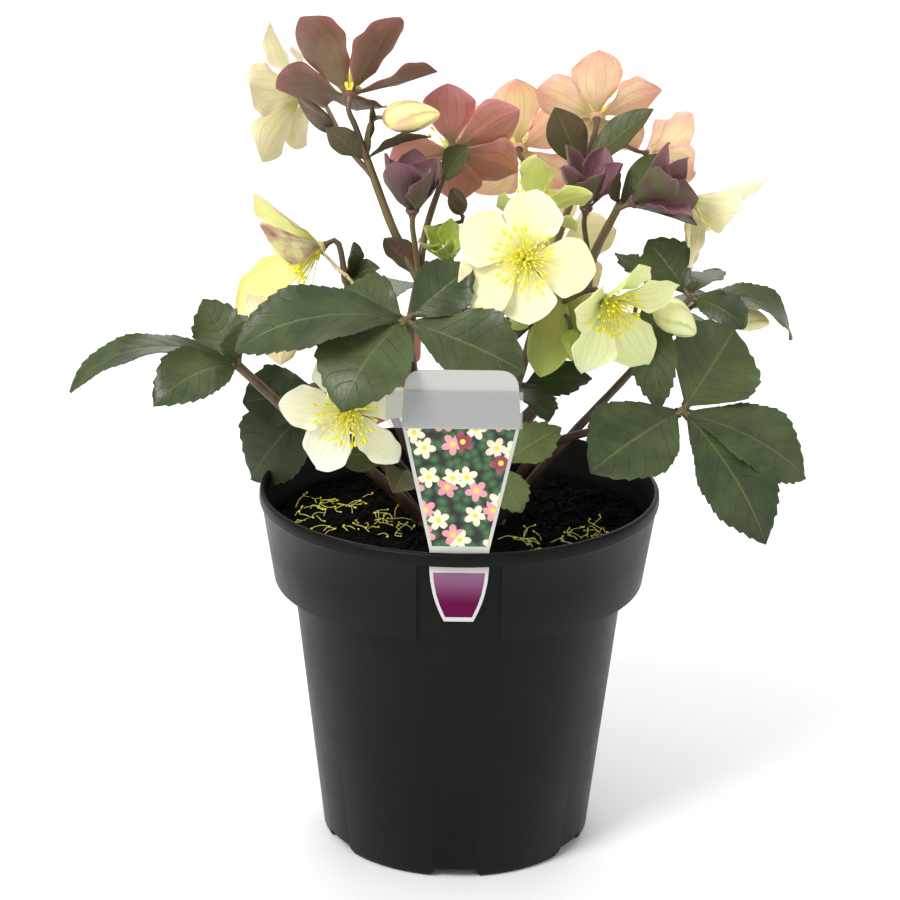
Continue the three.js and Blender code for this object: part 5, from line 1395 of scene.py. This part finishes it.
# %% The label's finishes
def printed_flowers(name):
    """A repeat of small five-petalled flowers, made from one wave round each Voronoi cell's centre."""
    flower_mm = 10.5
    made, tree = new_tree(name)
    place = add(tree, "ShaderNodeTexCoord").outputs["Object"]
    x, _, z = add(tree, "ShaderNodeSeparateXYZ", [place]).outputs
    flat = add(tree, "ShaderNodeCombineXYZ", [x, z])
    scaled = add(tree, "ShaderNodeVectorMath", {0: flat, "Scale": 1000 / flower_mm}, operation="SCALE")
    cells = add(tree, "ShaderNodeTexVoronoi", {"Vector": scaled, "Scale": 1, "Randomness": 0.75},
                voronoi_dimensions="2D")
    away = add(tree, "ShaderNodeVectorMath", [scaled, cells.outputs["Position"]], operation="SUBTRACT")
    right, up, _ = add(tree, "ShaderNodeSeparateXYZ", [away]).outputs
    angle = add(tree, "ShaderNodeMath", [up, right], operation="ARCTAN2")
    own = add(tree, "ShaderNodeSeparateXYZ", [cells.outputs["Color"]]).outputs
    turned = add(tree, "ShaderNodeMath", [own[0], 6, angle], operation="MULTIPLY_ADD")
    fifth = add(tree, "ShaderNodeMath", [turned, 2.5], operation="MULTIPLY")
    wave = add(tree, "ShaderNodeMath", [fifth], operation="COSINE")
    petal = add(tree, "ShaderNodeMath", [wave], operation="ABSOLUTE")
    reach = add(tree, "ShaderNodeMapRange", [petal, 0, 1, 0.24, 0.5])
    far = cells.outputs["Distance"]
    past = add(tree, "ShaderNodeMath", [reach, far], operation="SUBTRACT")
    on_flower = add(tree, "ShaderNodeMapRange", [past, -0.01, 0.02], interpolation_type="SMOOTHSTEP")
    blades = add(tree, "ShaderNodeTexVoronoi", {"Vector": scaled, "Scale": 2.6}, voronoi_dimensions="2D")
    leaves = add(tree, "ShaderNodeMapRange", [blades.outputs["Distance"], 0.1, 0.7])
    ground = add(tree, "ShaderNodeMix", {0: leaves, 6: "#3d6a3c", 7: "#0c1a12"}, data_type="RGBA")
    warm = add(tree, "ShaderNodeMapRange", [own[1], 0.5, 0.6])
    petals = add(tree, "ShaderNodeMix", {0: warm, 6: "#f3f0cc", 7: "#e59aa6"}, data_type="RGBA")
    deep = add(tree, "ShaderNodeMapRange", [own[1], 0.84, 0.86])
    petals = add(tree, "ShaderNodeMix", {0: deep, 6: petals, 7: "#8a2440"}, data_type="RGBA")
    shaded = add(tree, "ShaderNodeMapRange", [far, 0.14, 0.5, 0, 0.35])
    petals = add(tree, "ShaderNodeMix", {0: shaded, 6: petals, 7: "#b07a84"}, data_type="RGBA")
    eye = add(tree, "ShaderNodeMapRange", [far, 0.1, 0.14, 1, 0], interpolation_type="SMOOTHSTEP")
    petals = add(tree, "ShaderNodeMix", {0: eye, 6: petals, 7: "#dcd04a"}, data_type="RGBA")
    picture = add(tree, "ShaderNodeMix", {0: on_flower, 6: ground, 7: petals}, data_type="RGBA")
    skin = add(tree, "ShaderNodeBsdfPrincipled", {"Base Color": picture, "Roughness": 0.3})
    add(tree, "ShaderNodeOutputMaterial", [skin])
    return made


def fade_with_height(name, low, high, start, end):
    """One colour that fades to another with height, for the tongue's print and for the sheet's painted
    shade.
    """
    made, tree = new_tree(name)
    place = add(tree, "ShaderNodeTexCoord").outputs["Object"]
    z = add(tree, "ShaderNodeSeparateXYZ", [place]).outputs[2]
    share = add(tree, "ShaderNodeMapRange", [z, start * MM, end * MM], interpolation_type="SMOOTHSTEP")
    colour = add(tree, "ShaderNodeMix", {0: share, 6: low, 7: high}, data_type="RGBA")
    skin = add(tree, "ShaderNodeBsdfPrincipled", {
        "Base Color": colour, "Roughness": 0.35, "Specular IOR Level": 0.06})
    add(tree, "ShaderNodeOutputMaterial", [skin])
    return made


# The sheet itself is white: its light grey, darker towards the head, is painted shade.
label_sheet_painted_shade = fade_with_height("label_sheet_painted_shade", "#c8c8c4", "#b9b9b5", 150, 250)
label_picture = printed_flowers("label_picture")
label_tongue = fade_with_height("label_tongue", "#5d0a3a", "#85597b", 149.5, 165)
print("label's finishes:", label_sheet_painted_shade.name, label_picture.name, label_tongue.name)

# %% Helpers for flat panels
LABEL_Y = -91.3  # where the label passes the rim
LABEL_LEAN = 0.04
RIM_HEIGHT = 168.8
LABEL_THICKNESS = 0.8
PRINT_AHEAD = 0.04  # how far the print stands ahead of the sheet
HEIGHTS = [141.5, 146, 150.5, 155, 161, 167, 176, 236, 252]
HALF_WIDTHS = [6.6, 8.7, 10.4, 11.7, 12.8, 13.3, 13.3, 26, 25]


def lean_at(z, ahead):
    """Where the label's plane stands at a height. ahead is measured towards the front."""
    return LABEL_Y - LABEL_LEAN * (z - RIM_HEIGHT) - ahead


def half_width(z):
    """The label's half width at a height, below its round shoulders."""
    return float(np.interp(z, HEIGHTS, HALF_WIDTHS))


def between_edges(low, high, count, margin):
    """The outline of a print that keeps a margin to the label's edges, between two heights."""
    rows = np.linspace(low, high, count)
    return ([(half_width(z) - margin, z) for z in rows]
            + [(margin - half_width(z), z) for z in rows[::-1]])


def panel(piece, outline, front, behind, finish):
    """A flat panel of the label with an outline in X and Z, between two depths ahead of its middle."""
    count = len(outline)
    rows = [[(x, lean_at(z, ahead), z) for x, z in outline] for ahead in (front, behind)]
    quads = [[(i + 1) % count, i, i + count, (i + 1) % count + count] for i in range(count)]
    caps = [list(range(count)), list(range(count, 2 * count))[::-1]]
    piece.put(np.array(rows, float).reshape(-1, 3), quads + caps, finish)


# %% Cut the label
# The shoulder is a curve from the head's side, at 252, to its flat top, at 260.5.
shoulder = [((1 - k) ** 2 * 25 + 2 * k * (1 - k) * 24.5 + k ** 2 * 16,
             (1 - k) ** 2 * 252 + (1 - (1 - k) ** 2) * 260.5) for k in np.linspace(0, 1, 9)]
right_side = [(half_width(z), z) for z in HEIGHTS[:-1]] + shoulder
outline = right_side + [(-x, z) for x, z in right_side[::-1]]
face = LABEL_THICKNESS / 2
label_piece = Piece("plant_label", [label_sheet_painted_shade, label_picture, label_tongue])
panel(label_piece, outline, face, -face, 0)
panel(label_piece, between_edges(178, 233.5, 8, 1.6), face + PRINT_AHEAD, 0.1, 1)
panel(label_piece, between_edges(143.6, 165.2, 5, 1.5), face + PRINT_AHEAD, 0.1, 2)
label = label_piece.finish(30)
stand_for(label, "label")
print("label: faces", len(label.data.polygons))

# %% [markdown]
# ## The clear strip
# A strip of clear plastic film is stuck across the label's head and stands out past its left edge. Clear
# film shows mostly by its gloss and a slight grey, so it is thin, smooth and lets most light through.

# %% The film
def clear_plastic(name):
    made, tree = new_tree(name)
    skin = add(tree, "ShaderNodeBsdfPrincipled", {
        "Base Color": "#b2b5b4", "Roughness": 0.14, "IOR": 1.4, "Alpha": 0.36})
    add(tree, "ShaderNodeOutputMaterial", [skin])
    return made


film = clear_plastic("clear_film_polyester")
strip_piece = Piece("clear_strip", [film])
panel(strip_piece, [(26.8, 234), (26.8, 251), (-33, 251), (-33, 237), (-30, 234)], 1.35, 0.75, 0)
strip = strip_piece.finish(30)
stand_for(strip, "label_strip")
print("strip:", [round(side / MM, 1) for side in strip.dimensions], "mm")

# %% [markdown]
# ## The floor and the light
# A plain pale floor and a white surround stand for a studio. A soft light high on the left gives the form
# its shading, a weak one on the right and one above fill its shadows, and the white surround lights the
# rest, so that the pot's satin skin shows a soft highlight down each side. A large light behind the pot
# shines on the floor there, as a studio's backdrop light does, so that the floor stays white.

# %% Set the floor and the lights
def studio_white(name):
    made, tree = new_tree(name)
    skin = add(tree, "ShaderNodeBsdfPrincipled", {"Base Color": "#fdfdfd", "Roughness": 0.9})
    add(tree, "ShaderNodeOutputMaterial", [skin])
    return made


# Where each light stands, where it shines, its power in watts and its size, in metres.
LIGHTS = {
    "key": ((-1.0, -1.2, 1.6), (0, 0, 0.2), 30, 0.7),
    "fill": ((1.4, -0.8, 0.9), (0, 0, 0.2), 2, 1.2),
    "top": ((0.2, 0.6, 1.8), (0, 0, 0.2), 5, 1.4),
    "backdrop": ((0.1, 2.4, 1.7), (0, 1.6, 0), 34, 2.2),
}
SURROUND = 0.68

world = bpy.data.worlds.new("studio")
world.use_nodes = True
world.node_tree.nodes["Background"].inputs["Color"].default_value = (1, 1, 1, 1)
world.node_tree.nodes["Background"].inputs["Strength"].default_value = SURROUND
bpy.context.scene.world = world
floor_mesh = bpy.data.meshes.new("floor")
floor_mesh.from_pydata([(-4, -4, 0), (4, -4, 0), (4, 6, 0), (-4, 6, 0)], [], [(0, 1, 2, 3)])
floor_mesh.materials.append(studio_white("floor_white"))
floor = put_in_scene("floor", floor_mesh)
for name, (at, shines_on, power, size) in LIGHTS.items():
    light = bpy.data.lights.new(name, "AREA")
    light.energy, light.size = power, size
    made = put_in_scene(name, light)
    turn_to = (Vector(at) - Vector(shines_on)).to_track_quat("Z", "Y").to_matrix().to_4x4()
    made.matrix_world = Matrix.Translation(at) @ turn_to
print("lights:", ", ".join(LIGHTS))
